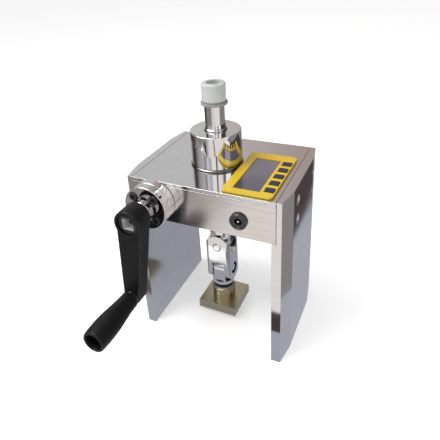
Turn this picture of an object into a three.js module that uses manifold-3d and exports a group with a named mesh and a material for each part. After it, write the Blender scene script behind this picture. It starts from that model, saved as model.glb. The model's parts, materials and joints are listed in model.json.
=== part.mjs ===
// Hand-cranked hydraulic pull-off tester: two side plates carry a box with a
// hollow-plunger cylinder on top, a screw pump at the front left, a display at
// the right, and a universal joint with a square test plate hanging below.
// Millimetres, +Z up, the crank points to -Y. The floor is at z = 0.
import * as THREE from "three";
import { mergeVertices } from "three/addons/utils/BufferGeometryUtils.js";
import Module from "manifold-3d";

const wasm = await Module();
wasm.setup();

// ---------------------------------------------------------------- sizes
const gap = 0.3; // air left between pieces that touch
const frameWidth = 148;
const frameDepth = 108;
const frameHeight = 170;
const boxHeight = 39;
const plateThickness = 12;
const lipThickness = 8; // plate thickness beside the box
const chamferAcross = 3.6;
const chamferAlong = 21.5;
const coverThickness = 3;
const coverProud = 0.3; // front cover in front of the plates

const pullX = -6.5; // vertical pulling axis
const pullY = -2;
const cylinderRadius = 23;
const cylinderHeight = 32;
const boreRadius = 19;
const sleeveWall = 1.6; // fixed guide sleeve around the rod
const neckWall = 1.5;
const neckHeight = 23;
const knobRadius = 10.55;
const knobHeight = 19;
const rodRadius = 5;

const crankX = -44; // pump and crank axis, along Y
const crankDepth = 18.5; // below the top of the box
const glandRadius = 20;
const glandRingThickness = 7.9;
const glandScrewCircle = 14;
const shaftCollarRadius = 10;
const hubRadius = 12.4;
const hubReach = 43.7; // hub's front face ahead of the front cover
const hubBack = 4; // hub longer than the arm is thick
const armThickness = 14;
const armLength = 80;
const armTilt = THREE.MathUtils.degToRad(6.5);
const armEndRadius = 8;
const gripLength = 52.2;
const plungerRadius = 8;

const linkWidth = 25;
const upperPinZ = 81.5;
const lowerPinZ = 51.5;
const slotWidth = 13.4;
const pinRadius = 4;
const testPlateWidth = 40;
const testPlateThickness = 9;
const testPlateZ = 6; // clearance over the floor
const collarRadius = 11.5;
const collarHeight = 14.5;

const bezelY = -14.5;
const bezelWidth = 43;
const bezelLength = 75;
const bezelThickness = 2;
const windowWidth = 23;
const windowMargin = 8.5; // bezel left at each end of the window
const keyWidth = 8;
const keyLength = 6.8;
const keyPitch = 12;

const screwRadius = 2.9;
const screwHeadRadius = 5;
const upperScrewDepth = 14; // below the top of the box
const screwColumns = [-21, 31];
const jackX = 34.5;
const jackDepth = 23;
const fillerX = 30;
const fillerDepth = 19;

// sizes that follow from the ones above
const crankZ = frameHeight - crankDepth;
const jackZ = frameHeight - jackDepth;
const fillerZ = frameHeight - fillerDepth;
const halfWidth = frameWidth / 2;
const halfDepth = frameDepth / 2;
const boxHalfWidth = halfWidth - lipThickness - gap;
const boxBottom = frameHeight - boxHeight + gap;
const panelFrontY = -halfDepth - coverProud;
const blockTop = frameHeight - coverThickness - gap;
const blockBottom = boxBottom + coverThickness + gap;
const blockHalfDepth = halfDepth - coverThickness - gap;
const blockHalfWidth = boxHalfWidth;
const screwRows = [blockBottom + screwRadius, frameHeight - upperScrewDepth];
const rodHole = rodRadius + 0.6;
const sleeveRadius = rodHole + sleeveWall;
const neckInner = sleeveRadius + gap;
const neckRadius = neckInner + neckWall;
const hubFrontY = panelFrontY - hubReach;
const bezelX = pullX + cylinderRadius + 2 + bezelWidth / 2;
const windowLength = bezelLength - 2 * windowMargin;
const gripEndY = hubFrontY + gap - gripLength;
const armEndX = crankX - Math.sin(armTilt) * armLength;
const armEndZ = crankZ - Math.cos(armTilt) * armLength;
const shiftY = -(halfDepth + gripEndY) / 2; // puts the outline's middle on y = 0

// ---------------------------------------------------------------- materials
const finishes = {
  mirror_steel: { color: 0xb9b7b4, roughness: 0.06, metalness: 1.0 },
  satin_steel: { color: 0xb7b1ac, roughness: 0.32, metalness: 1.0 },
  machined_steel: { color: 0x8f8d8a, roughness: 0.4, metalness: 1.0 },
  black_steel: { color: 0x1b1b1d, roughness: 0.45, metalness: 0.6 },
  nickel_brass: { color: 0x9b8c6c, roughness: 0.3, metalness: 1.0 },
  bronze: { color: 0xa9793c, roughness: 0.4, metalness: 1.0 },
  black_plastic: { color: 0x18181a, roughness: 0.55, metalness: 0.0 },
  grey_plastic: { color: 0xbec6be, roughness: 0.45, metalness: 0.0 },
  yellow_plastic: { color: 0xd8ae1e, roughness: 0.4, metalness: 0.0 },
  key_plastic: { color: 0x33465a, roughness: 0.5, metalness: 0.0 },
  lcd_glass: { color: 0x7d7378, roughness: 0.1, metalness: 0.0 },
  board_green: { color: 0x1f5a38, roughness: 0.6, metalness: 0.0 },
  battery_blue: { color: 0x2f5f9a, roughness: 0.5, metalness: 0.0 },
  black_rubber: { color: 0x151515, roughness: 0.8, metalness: 0.0 },
};

const materials = {};
for (const [name, finish] of Object.entries(finishes)) {
  materials[name] = new THREE.MeshStandardMaterial(finish);
  materials[name].name = name;
}

const group = new THREE.Group();
group.name = "pull_off_tester";

// ---------------------------------------------------------------- solids
function toSolid(geometry) {
  const bare = geometry.clone();
  bare.deleteAttribute("normal");
  bare.deleteAttribute("uv");
  const merged = mergeVertices(bare, 1e-5);
  return new wasm.Manifold(
    new wasm.Mesh({
      numProp: 3,
      vertProperties: Float32Array.from(merged.attributes.position.array),
      triVerts: Uint32Array.from(merged.index.array),
    }),
  );
}

function toGeometry(solid) {
  const mesh = solid.getMesh();
  const geometry = new THREE.BufferGeometry();
  geometry.setAttribute("position", new THREE.Float32BufferAttribute(mesh.vertProperties, 3));
  geometry.setIndex(new THREE.Uint32BufferAttribute(mesh.triVerts, 1));
  return geometry;
}

function addPiece(name, finish, solid) {
  const geometry = toGeometry(solid);
  geometry.translate(0, shiftY, 0);
  geometry.computeVertexNormals();
  const mesh = new THREE.Mesh(geometry, materials[finish]);
  mesh.name = name;
  group.add(mesh);
}

function box(x0, x1, y0, y1, z0, z1) {
  const geometry = new THREE.BoxGeometry(x1 - x0, y1 - y0, z1 - z0);
  geometry.translate((x0 + x1) / 2, (y0 + y1) / 2, (z0 + z1) / 2);
  return toSolid(geometry);
}

// profile is a closed list of [radius, height] turned about the Z axis
function turned(profile, segments = 32) {
  const points = profile.map(([radius, height]) => new THREE.Vector2(radius, height));
  points.push(points[0].clone());
  const geometry = new THREE.LatheGeometry(points, segments);
  geometry.rotateX(Math.PI / 2);
  const solid = toSolid(geometry);
  return solid.volume() < 0 ? toSolid(flipped(geometry)) : solid;
}

function flipped(geometry) {
  const index = geometry.index.array;
  for (let i = 0; i < index.length; i += 3) {
    const keep = index[i];
    index[i] = index[i + 1];
    index[i + 1] = keep;
  }
  return geometry;
}

function disc(radius, z0, z1, segments = 32) {
  const geometry = new THREE.CylinderGeometry(radius, radius, z1 - z0, segments);
  geometry.rotateX(Math.PI / 2);
  geometry.translate(0, 0, (z0 + z1) / 2);
  return toSolid(geometry);
}

function ring(outer, inner, z0, z1, segments = 32) {
  return turned([[inner, z0], [outer, z0], [outer, z1], [inner, z1]], segments);
}

// a solid made along +Z is laid so that its height runs along Y
const alongY = (solid) => solid.rotate([-90, 0, 0]);
// or along X
const alongX = (solid) => solid.rotate([0, 90, 0]);

function rod(axis, x, y, z, radius, from, to, segments = 24) {
  const solid = disc(radius, from, to, segments);
  if (axis === "x") return alongX(solid).translate([0, y, z]);
  if (axis === "y") return alongY(solid).translate([x, 0, z]);
  return solid.translate([x, y, 0]);
}

function outlineSolid(shape, depth, options = {}) {
  return toSolid(
    new THREE.ExtrudeGeometry(shape, { depth, bevelEnabled: false, curveSegments: 8, ...options }),
  );
}

function roundedOutline(x0, x1, y0, y1, radius) {
  const shape = new THREE.Shape();
  shape.moveTo(x0 + radius, y0);
  shape.lineTo(x1 - radius, y0);
  shape.absarc(x1 - radius, y0 + radius, radius, -Math.PI / 2, 0);
  shape.lineTo(x1, y1 - radius);
  shape.absarc(x1 - radius, y1 - radius, radius, 0, Math.PI / 2);
  shape.lineTo(x0 + radius, y1);
  shape.absarc(x0 + radius, y1 - radius, radius, Math.PI / 2, Math.PI);
  shape.lineTo(x0, y0 + radius);
  shape.absarc(x0 + radius, y0 + radius, radius, Math.PI, 1.5 * Math.PI);
  return shape;
}

function roundedBlock(x0, x1, y0, y1, z0, z1, radius) {
  const shape = roundedOutline(x0, x1, y0, y1, radius);
  return outlineSolid(shape, z1 - z0, { curveSegments: 4 }).translate([0, 0, z0]);
}

// cap screw along +Z: the shank starts at z = 0 and the head is on top
function capScrew(shankRadius, shankLength, headRadius, headHeight, headSegments = 16) {
  const head = disc(headRadius, shankLength, shankLength + headHeight, headSegments);
  const shank = disc(shankRadius, 0, shankLength + 0.5, 8);
  const socket = disc(headRadius * 0.55, shankLength + headHeight * 0.4, shankLength + headHeight + 1, 6);
  return head.add(shank).subtract(socket);
}

// ---------------------------------------------------------------- side plates
const headDepth = 4.6;
const screwTipX = blockHalfWidth - 9;
const shankEndX = halfWidth - headDepth;

function sidePlate() {
  const shape = new THREE.Shape();
  const inner = halfWidth - plateThickness;
  shape.moveTo(inner, -halfDepth);
  shape.lineTo(halfWidth - chamferAcross, -halfDepth);
  shape.lineTo(halfWidth, -halfDepth + chamferAlong);
  shape.lineTo(halfWidth, halfDepth - chamferAlong);
  shape.lineTo(halfWidth - chamferAcross, halfDepth);
  shape.lineTo(inner, halfDepth);
  shape.closePath();
  let plate = outlineSolid(shape, frameHeight);
  const rebateX = halfWidth - lipThickness;
  plate = plate.subtract(
    box(inner - 1, rebateX, -halfDepth - 1, halfDepth + 1, frameHeight - boxHeight, frameHeight + 1),
  );
  for (const y of screwColumns) {
    for (const z of screwRows) {
      plate = plate.subtract(rod("x", 0, y, z, screwRadius + gap, inner - 1, halfWidth + 1, 8));
      plate = plate.subtract(rod("x", 0, y, z, screwHeadRadius + gap, shankEndX, halfWidth + 1, 16));
    }
  }
  return plate;
}

const rightPlate = sidePlate();
addPiece("right_side_plate", "mirror_steel", rightPlate);
addPiece("left_side_plate", "mirror_steel", rightPlate.mirror([1, 0, 0]));

let screwNumber = 0;
for (const y of screwColumns) {
  for (const z of screwRows) {
    screwNumber += 1;
    const length = shankEndX + gap - screwTipX;
    const screw = alongX(capScrew(screwRadius, length, screwHeadRadius, headDepth - 0.9));
    const placed = screw.translate([screwTipX, y, z]);
    addPiece(`right_plate_screw_${screwNumber}`, "machined_steel", placed);
    addPiece(`left_plate_screw_${screwNumber}`, "machined_steel", placed.mirror([1, 0, 0]));
  }
}

// ---------------------------------------------------------------- the box
const spigotRadius = 14.4;
const spigotZ = frameHeight - 16; // lower end of the cylinder's spigot
const spigotBoreZ = spigotZ - 4.3;
const barrelRadius = 12;
const barrelRearY = 20.3;
const barrelBoreY = 24.3;
const pocket = { x0: bezelX - 20, x1: blockHalfWidth - 2.7, y0: 1.7 - blockHalfDepth, y1: 23 };
const lowPocket = { x0: pocket.x0 + 2, x1: screwTipX - 2.7, y0: pocket.y0 + 2, y1: 20 };
const boardZ = frameHeight - 8;
const channelY = 22.3;
const oilZ = spigotBoreZ + 1.9;
const sensorX = 9.5;

let block = box(-blockHalfWidth, blockHalfWidth, -blockHalfDepth, blockHalfDepth, blockBottom, blockTop);
block = block.subtract(rod("z", pullX, pullY, 0, rodHole, blockBottom - 1, blockTop + 1));
block = block.subtract(rod("z", pullX, pullY, 0, spigotRadius + gap, spigotBoreZ, blockTop + 1, 28));
block = block.subtract(
  rod("y", crankX, 0, crankZ, barrelRadius + gap, -blockHalfDepth - 1, barrelBoreY, 28),
);
block = block.subtract(
  box(pocket.x0, pocket.x1, pocket.y0, pocket.y1, boardZ - gap, blockTop + 1),
);
block = block.subtract(
  box(lowPocket.x0, lowPocket.x1, lowPocket.y0, lowPocket.y1, blockBottom + 3, boardZ),
);
// oil ways: pump bore end to the cylinder, and the cylinder to the sensor
block = block.subtract(rod("x", 0, channelY, oilZ, 1.5, crankX, pullX, 8));
block = block.subtract(rod("y", pullX, 0, oilZ, 1.5, pullY, channelY + 1.2, 8));
block = block.subtract(rod("x", 0, pullY, oilZ, 1.5, pullX, sensorX + 1, 8));
block = block.subtract(rod("x", 0, pullY, oilZ, 5.3, sensorX, lowPocket.x0 + 1, 20));
// jack hole and the tapped holes of the pump and of the side plates
block = block.subtract(rod("y", jackX, 0, jackZ, 7, -blockHalfDepth - 1, lowPocket.y0 + 1, 24));
const glandScrewPlaces = [45, 135, 225, 315].map((degrees) => {
  const angle = THREE.MathUtils.degToRad(degrees);
  return [crankX + glandScrewCircle * Math.cos(angle), crankZ + glandScrewCircle * Math.sin(angle)];
});
const glandShankRadius = 1.6;
const glandTipY = panelFrontY + 10.3;
for (const [x, z] of glandScrewPlaces) {
  block = block.subtract(
    rod("y", x, 0, z, glandShankRadius + gap, -blockHalfDepth - 1, glandTipY + gap, 8),
  );
}
for (const side of [-1, 1]) {
  for (const y of screwColumns) {
    for (const z of screwRows) {
      const hole = rod("x", 0, y, z, screwRadius + gap, screwTipX - gap, blockHalfWidth + 1, 8);
      block = block.subtract(side > 0 ? hole : hole.mirror([1, 0, 0]));
    }
  }
}
block = block.subtract(rod("y", fillerX, 0, fillerZ, 3.3, 36, blockHalfDepth + 1, 16));
addPiece("body_block", "machined_steel", block);

let topCover = box(-boxHalfWidth, boxHalfWidth, panelFrontY, halfDepth, blockTop + gap, frameHeight);
topCover = topCover.subtract(
  rod("z", pullX, pullY, 0, spigotRadius + gap, blockTop, frameHeight + 1, 32),
);
const keyX = bezelX + 16.3;
const firstKeyY = bezelY - 26.3;
const keyFlange = 0.8;
topCover = topCover.subtract(
  box(bezelX - 15.5, keyX + keyWidth / 2 + 0.9 + gap, firstKeyY - 7, bezelY + 29, blockTop, frameHeight + 1),
);
addPiece("top_cover", "mirror_steel", topCover);

let frontCover = box(-boxHalfWidth, boxHalfWidth, panelFrontY, -halfDepth + coverThickness, boxBottom, blockTop);
frontCover = frontCover.subtract(
  rod("y", crankX, 0, crankZ, barrelRadius + gap, panelFrontY - 1, -blockHalfDepth + 1, 32),
);
frontCover = frontCover.subtract(
  rod("y", jackX, 0, jackZ, 5.5 + gap, panelFrontY - 1, -blockHalfDepth + 1, 24),
);
for (const [x, z] of glandScrewPlaces) {
  frontCover = frontCover.subtract(
    rod("y", x, 0, z, glandShankRadius + gap, panelFrontY - 1, -blockHalfDepth + 1, 8),
  );
}
addPiece("front_cover", "satin_steel", frontCover);

let rearCover = box(-boxHalfWidth, boxHalfWidth, halfDepth - coverThickness, halfDepth, boxBottom, blockTop);
rearCover = rearCover.subtract(
  rod("y", fillerX, 0, fillerZ, 6.5, blockHalfDepth - 1, halfDepth + 1, 24),
);
addPiece("rear_cover", "satin_steel", rearCover);
const fillerPlug = alongY(capScrew(3, 12, 6, 2.4, 24)).translate([fillerX, halfDepth - 2.6 - 12, fillerZ]);
addPiece("oil_filler_plug", "black_steel", fillerPlug);

let bottomCover = box(
  -boxHalfWidth, boxHalfWidth, -blockHalfDepth, blockHalfDepth, boxBottom, boxBottom + coverThickness,
);
bottomCover = bottomCover.subtract(
  rod("z", pullX, pullY, 0, rodHole, boxBottom - 1, blockBottom + 1),
);
addPiece("bottom_cover", "satin_steel", bottomCover);

// ---------------------------------------------------------------- cylinder
const shellBottom = frameHeight + 2.1;
const shellTop = shellBottom + cylinderHeight - 1.8;
const chamberTop = shellTop - 5.3;
const plugTop = shellBottom + 7.9;
const atPull = (solid) => solid.translate([pullX, pullY, 0]);

addPiece("cylinder_gasket", "black_rubber",
  atPull(ring(cylinderRadius + 0.9, spigotRadius + gap, frameHeight + gap, shellBottom - gap, 32)));

addPiece("cylinder_shell", "mirror_steel", atPull(turned([
  [boreRadius, shellBottom], [cylinderRadius, shellBottom], [cylinderRadius, shellTop - 1],
  [cylinderRadius - 1, shellTop], [neckRadius + 0.6, shellTop], [neckRadius + 0.6, chamberTop],
  [boreRadius, chamberTop],
], 36)));

let basePlug = turned([
  [rodHole, spigotZ], [spigotRadius, spigotZ], [spigotRadius, shellBottom], [boreRadius - gap, shellBottom],
  [boreRadius - gap, plugTop], [sleeveRadius, plugTop], [sleeveRadius, chamberTop + 2], [rodHole, chamberTop + 2],
], 28);
basePlug = basePlug.subtract(rod("z", 11, 0, 0, 1.5, spigotZ - 1, plugTop + 1, 8));
addPiece("cylinder_base_plug", "machined_steel", atPull(basePlug));

const pistonBottom = plugTop + 0.6;
const pistonTop = pistonBottom + 8.5;
addPiece("ring_piston", "machined_steel",
  atPull(ring(boreRadius - gap, neckRadius + gap, pistonBottom, pistonTop, 32)));

const neckTop = shellTop + neckHeight;
addPiece("neck_tube", "mirror_steel", atPull(ring(neckRadius, neckInner, pistonBottom, neckTop, 28)));
addPiece("neck_wiper_ring", "satin_steel",
  atPull(ring(neckRadius + 1.4, neckRadius + gap, shellTop + gap, shellTop + 1.9, 28)));

// ---------------------------------------------------------------- knob and rod
const knobBottom = neckTop + gap;
const knobTop = knobBottom + knobHeight;
const nutRadius = 8;
const nutBottom = knobBottom + 1.5;
const nutTop = nutBottom + 11;
addPiece("adjusting_knob", "grey_plastic", atPull(turned([
  [rodRadius + 0.7, knobBottom], [knobRadius + 1.35, knobBottom], [knobRadius + 1.35, knobBottom + 2],
  [knobRadius, knobBottom + 2.4], [knobRadius, knobTop - 1.6], [knobRadius - 1.6, knobTop],
  [6.2, knobTop], [6.2, nutTop + gap], [nutRadius + gap, nutTop + gap], [nutRadius + gap, nutBottom - gap],
  [rodRadius + 0.7, nutBottom - gap],
], 28)));
addPiece("knob_nut", "nickel_brass", atPull(ring(nutRadius, rodRadius + gap, nutBottom, nutTop, 24)));

const eyeRadius = 11;
const tongueRadius = 9.5;
const tongueHalf = slotWidth / 2 - 0.4;
const shoulderGap = 1.4;
const upperShoulder = upperPinZ + linkWidth / 2 + shoulderGap;
const rodBottom = upperShoulder + 6;
addPiece("pull_rod", "machined_steel",
  atPull(disc(rodRadius, rodBottom, nutTop + 2.4, 24)));

// a round rod end whose flat tongue reaches past the pin, made pointing down
function rodEnd(pinZ, shoulderZ, endZ, chamfer) {
  const direction = Math.sign(endZ - shoulderZ);
  const flat = endZ - direction * chamfer;
  const head = turned([
    [0, shoulderZ], [eyeRadius, shoulderZ], [eyeRadius, flat], [eyeRadius - chamfer, endZ], [0, endZ],
  ], 24);
  const slab = box(-tongueRadius, tongueRadius, -tongueHalf, tongueHalf,
    Math.min(pinZ, shoulderZ + direction), Math.max(pinZ, shoulderZ + direction));
  const tip = rod("y", 0, 0, pinZ, tongueRadius, -tongueHalf, tongueHalf, 24);
  return head.add(slab).add(tip).subtract(
    rod("y", 0, 0, pinZ, pinRadius + gap, -tongueHalf - 1, tongueHalf + 1, 20),
  );
}

const upperEye = rodEnd(upperPinZ, upperShoulder, rodBottom + 5, 2).subtract(
  disc(rodRadius + gap, rodBottom - gap, rodBottom + 8, 24),
);
addPiece("upper_rod_end", "mirror_steel", atPull(upperEye));

const halfLink = linkWidth / 2;
function earOutline() {
  const upper = rod("y", 0, 0, upperPinZ, halfLink, -halfLink - 1, halfLink + 1, 28);
  const body = box(-halfLink, halfLink, -halfLink - 1, halfLink + 1, lowerPinZ - halfLink - 1, upperPinZ);
  return upper.add(body);
}
function lowerOutline() {
  const lower = rod("x", 0, 0, lowerPinZ, halfLink, -halfLink - 1, halfLink + 1, 28);
  const body = box(-halfLink - 1, halfLink + 1, -halfLink, halfLink, lowerPinZ, upperPinZ + halfLink + 1);
  return lower.add(body);
}
const slotHalf = slotWidth / 2;
const slotClear = 1;
let link = roundedBlock(-halfLink, halfLink, -halfLink, halfLink,
  lowerPinZ - halfLink - 1, upperPinZ + halfLink + 1, 3.5);
link = link.intersect(earOutline()).intersect(lowerOutline());
link = link.subtract(
  box(-halfLink - 1, halfLink + 1, -slotHalf, slotHalf,
    upperPinZ - tongueRadius - slotClear, upperPinZ + halfLink + 2),
);
link = link.subtract(
  box(-slotHalf, slotHalf, -halfLink - 1, halfLink + 1,
    lowerPinZ - halfLink - 2, lowerPinZ + tongueRadius + slotClear),
);
link = link.subtract(rod("y", 0, 0, upperPinZ, pinRadius + gap, -halfLink - 1, halfLink + 1, 20));
link = link.subtract(rod("x", 0, 0, lowerPinZ, pinRadius + gap, -halfLink - 1, halfLink + 1, 20));
addPiece("joint_link", "mirror_steel", atPull(link));

const pin = turned([
  [0, -halfLink - 0.6], [pinRadius - 0.8, -halfLink - 0.6], [pinRadius, -halfLink + 0.2],
  [pinRadius, halfLink - 0.2], [pinRadius - 0.8, halfLink + 0.6], [0, halfLink + 0.6],
], 20);
addPiece("upper_pin", "mirror_steel", atPull(alongY(pin).translate([0, 0, upperPinZ])));
addPiece("lower_pin", "mirror_steel", atPull(alongX(pin).translate([0, 0, lowerPinZ])));

const collarTop = testPlateZ + testPlateThickness + collarHeight;
const washerBottom = collarTop + gap;
const eyeBottom = washerBottom + 1.4 + gap;
const lowerShoulder = lowerPinZ - halfLink - shoulderGap;
const studRadius = 4;
let lowerEye = rodEnd(lowerPinZ, lowerShoulder, eyeBottom, 2.5).rotate([0, 0, 90]);
lowerEye = lowerEye.add(disc(studRadius, collarTop - 9, eyeBottom + 1, 20));
addPiece("lower_rod_end", "mirror_steel", atPull(lowerEye));
addPiece("stud_washer", "black_rubber",
  atPull(ring(9.6, studRadius + gap, washerBottom, washerBottom + 1.4, 24)));

const halfPlate = testPlateWidth / 2;
const plateTop = testPlateZ + testPlateThickness;
let testPlate = box(-halfPlate, halfPlate, -halfPlate, halfPlate, testPlateZ, plateTop);
testPlate = testPlate.add(turned([
  [0, plateTop - 1], [collarRadius, plateTop - 1], [collarRadius, collarTop - 2.6],
  [collarRadius - 0.9, collarTop - 2], [collarRadius - 0.9, collarTop], [0, collarTop],
], 28));
testPlate = testPlate.subtract(disc(studRadius + gap, collarTop - 10, collarTop + 1, 20));
addPiece("test_plate", "nickel_brass", atPull(testPlate));

// ---------------------------------------------------------------- pump
// every turned part of the pump is drawn with its height along Y
const onCrank = (solid) => alongY(solid).translate([crankX, 0, crankZ]);
const shaftRadius = 6.3;
const shaftHole = shaftRadius + 0.5;
const glandRearY = panelFrontY - gap;
const rearRingFront = glandRearY - glandRingThickness;
const frontRingRear = rearRingFront - gap;
const frontRingFront = frontRingRear - glandRingThickness;
const pocketDepth = 3.2;

function glandRing(y0, y1, holeRadius) {
  let solid = onCrank(turned([
    [holeRadius, y0], [glandRadius - 0.6, y0], [glandRadius, y0 + 0.6],
    [glandRadius, y1 - 0.6], [glandRadius - 0.6, y1], [holeRadius, y1],
  ], 32));
  for (const [x, z] of glandScrewPlaces) {
    solid = solid.subtract(rod("y", x, 0, z, glandShankRadius + gap, y0 - 1, y1 + 1, 8));
  }
  return solid;
}

addPiece("gland_rear_ring", "mirror_steel", glandRing(rearRingFront, glandRearY, shaftHole));
let frontRing = glandRing(frontRingFront, frontRingRear, shaftHole);
const pocketFloor = frontRingFront + pocketDepth;
frontRing = frontRing.subtract(rod("y", crankX, 0, crankZ, 11.5, frontRingFront - 1, pocketFloor, 24));
const glandHeadRadius = 4;
for (const [x, z] of glandScrewPlaces) {
  frontRing = frontRing.subtract(
    rod("y", x, 0, z, glandHeadRadius + 0.6, frontRingFront - 1, pocketFloor, 16),
  );
}
addPiece("gland_front_ring", "mirror_steel", frontRing);

glandScrewPlaces.forEach(([x, z], index) => {
  const length = glandTipY - (pocketFloor - gap);
  const screw = alongY(capScrew(glandShankRadius, length, glandHeadRadius, 4, 14)).rotate([0, 0, 180]);
  addPiece(`gland_screw_${index + 1}`, "black_steel", screw.translate([x, glandTipY, z]));
});

const flangeFront = panelFrontY + 9.3;
const flangeRear = flangeFront + 4;
const barrelFront = flangeRear + gap;
const bushRadius = Math.min(barrelRadius, glandScrewCircle - glandShankRadius - gap); // inside the screws
addPiece("thrust_bush", "bronze",
  onCrank(ring(bushRadius, shaftHole, panelFrontY + gap, flangeFront - gap, 28)));

const plungerFront = barrelFront + 4;
const plungerLength = 34;
const plungerRear = plungerFront + plungerLength;
const screwTipY = plungerRear - 3.4;
const keyHoleY = plungerFront + 3;
const slotEndY = plungerRear - 8;
let barrel = onCrank(ring(barrelRadius, plungerRadius + gap, barrelFront, barrelRearY, 32));
barrel = barrel.add(rod("z", crankX, keyHoleY, 0, 1.2, crankZ + plungerRadius - 1.4, crankZ + plungerRadius + 2, 12));
addPiece("pump_barrel", "machined_steel", barrel);

let plunger = onCrank(turned([
  [0, plungerRear], [plungerRadius, plungerRear], [plungerRadius, plungerFront],
  [rodRadius + gap, plungerFront], [rodRadius + gap, screwTipY + 1.4], [0, screwTipY + 1.4],
], 28));
plunger = plunger.subtract(box(crankX - 1.6, crankX + 1.6, plungerFront - 1, slotEndY,
  crankZ + plungerRadius - 1.8, crankZ + plungerRadius + 1));
addPiece("pump_plunger", "machined_steel", plunger);

const squareHalf = 4.7;
const squareFront = hubFrontY + 10;
const hubRearY = hubFrontY + armThickness + hubBack;
const shaftFront = hubRearY - gap;
let shaft = onCrank(turned([
  [0, shaftFront + gap], [shaftRadius, shaftFront + gap], [shaftRadius, flangeFront], [9.5, flangeFront],
  [9.5, flangeRear], [rodRadius, flangeRear], [rodRadius, screwTipY], [0, screwTipY],
], 28));
shaft = shaft.add(box(crankX - squareHalf, crankX + squareHalf, squareFront, shaftFront + 2,
  crankZ - squareHalf, crankZ + squareHalf));
addPiece("drive_screw", "machined_steel", shaft);
// the collar fills the shaft between the end of its square and the gland
const collarFront = shaftFront + 2 + gap;
addPiece("shaft_collar", "mirror_steel",
  onCrank(ring(shaftCollarRadius, shaftRadius + gap, collarFront, frontRingFront - 1.4, 6 * 5)));

// ---------------------------------------------------------------- crank
// tapered arm between the hub circle and the smaller end circle
function armSolid() {
  const shape = new THREE.Shape();
  const steps = 10;
  for (let i = 0; i <= steps; i += 1) {
    const angle = Math.PI * (i / steps);
    shape[i === 0 ? "moveTo" : "lineTo"](hubRadius * Math.cos(angle), hubRadius * Math.sin(angle));
  }
  for (let i = 0; i <= steps; i += 1) {
    const angle = Math.PI + Math.PI * (i / steps);
    shape.lineTo(armEndRadius * Math.cos(angle), -armLength + armEndRadius * Math.sin(angle));
  }
  shape.closePath();
  const bevel = 1.4;
  const solid = outlineSolid(shape, armThickness - 2 * bevel, {
    bevelEnabled: true, bevelThickness: bevel, bevelSize: bevel, bevelOffset: -bevel, bevelSegments: 1,
  });
  return solid
    .translate([0, 0, bevel])
    .rotate([90, 0, 0])
    .rotate([0, THREE.MathUtils.radToDeg(armTilt), 0])
    .translate([crankX, hubFrontY + 2.3 + armThickness, crankZ]);
}

const insertRadius = 9;
const insertFront = hubFrontY + 1.8;
const spindleRadius = 4;
let arm = armSolid();
arm = arm.add(onCrank(turned([
  [0, hubFrontY], [hubRadius - 1.2, hubFrontY], [hubRadius, hubFrontY + 1.2],
  [hubRadius, hubRearY - 1.2], [hubRadius - 1.2, hubRearY], [0, hubRearY],
], 28)));
arm = arm.subtract(onCrank(disc(insertRadius + gap, hubFrontY - 1, hubRearY - 1.6, 24)));
arm = arm.subtract(onCrank(disc(shaftRadius + 0.6, hubFrontY - 1, hubRearY + 1, 20)));
arm = arm.subtract(rod("y", armEndX, 0, armEndZ, spindleRadius + gap, hubFrontY - 1, hubRearY + 5, 20));
addPiece("crank_arm", "black_plastic", arm);

let insert = onCrank(disc(insertRadius, insertFront, hubRearY - 1.9, 24));
insert = insert.subtract(box(crankX - squareHalf - gap, crankX + squareHalf + gap, hubFrontY, hubRearY,
  crankZ - squareHalf - gap, crankZ + squareHalf + gap));
addPiece("square_insert", "satin_steel", insert);

const onGrip = (solid) => alongY(solid).translate([armEndX, 0, armEndZ]);
const armFrontY = hubFrontY + 2.3;
const gripFrontY = gripEndY;
const gripRootY = hubFrontY + gap;
const headSeatY = gripFrontY + 15;
addPiece("grip_washer", "satin_steel",
  onGrip(ring(7.6, spindleRadius + gap, gripRootY + gap, armFrontY - gap, 24)));
addPiece("grip_spindle", "machined_steel", onGrip(turned([
  [0, headSeatY - 3], [6.2, headSeatY - 3], [6.2, headSeatY - gap], [spindleRadius, headSeatY - gap],
  [spindleRadius, hubRearY - 1], [0, hubRearY - 1],
], 20)));
addPiece("crank_grip", "black_plastic", onGrip(turned([
  [spindleRadius + gap, gripRootY], [8.1, gripRootY], [8.2, gripRootY - 6], [9, gripRootY - 16],
  [10.2, gripRootY - 28], [10.6, gripRootY - 38], [10.4, gripRootY - 46], [10, gripFrontY + 1],
  [9.2, gripFrontY], [7.8, gripFrontY], [7.4, gripFrontY + 1.4], [7.2, headSeatY], [spindleRadius + gap, headSeatY],
], 24)));

// ---------------------------------------------------------------- display
const bezelBottom = frameHeight + gap;
const bezelTop = bezelBottom + bezelThickness;
const bezelLeft = bezelX - bezelWidth / 2;
const bezelRight = bezelX + bezelWidth / 2;
const windowX0 = bezelLeft + 8;
const windowX1 = windowX0 + windowWidth;
const windowY1 = bezelY + bezelLength / 2 - 11;
const windowY0 = windowY1 - windowLength;
const keyPlaces = [0, 1, 2, 3, 4].map((index) => firstKeyY + index * keyPitch);

let bezel = roundedBlock(bezelLeft, bezelRight, bezelY - bezelLength / 2, bezelY + bezelLength / 2,
  bezelBottom, bezelTop, 4);
bezel = bezel.subtract(box(windowX0, windowX1, windowY0, windowY1, bezelBottom - 1, bezelTop + 1));
for (const y of keyPlaces) {
  bezel = bezel.subtract(box(keyX - keyWidth / 2 - gap, keyX + keyWidth / 2 + gap,
    y - keyLength / 2 - gap, y + keyLength / 2 + gap, bezelBottom - 1, bezelTop + 1));
}
addPiece("display_bezel", "yellow_plastic", bezel);

const boardTop = boardZ + 1.6;
addPiece("lcd_module", "lcd_glass",
  box(windowX0 + gap, windowX1 - gap, windowY0 + gap, windowY1 - gap, boardTop + gap, bezelTop - 0.7));

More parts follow.
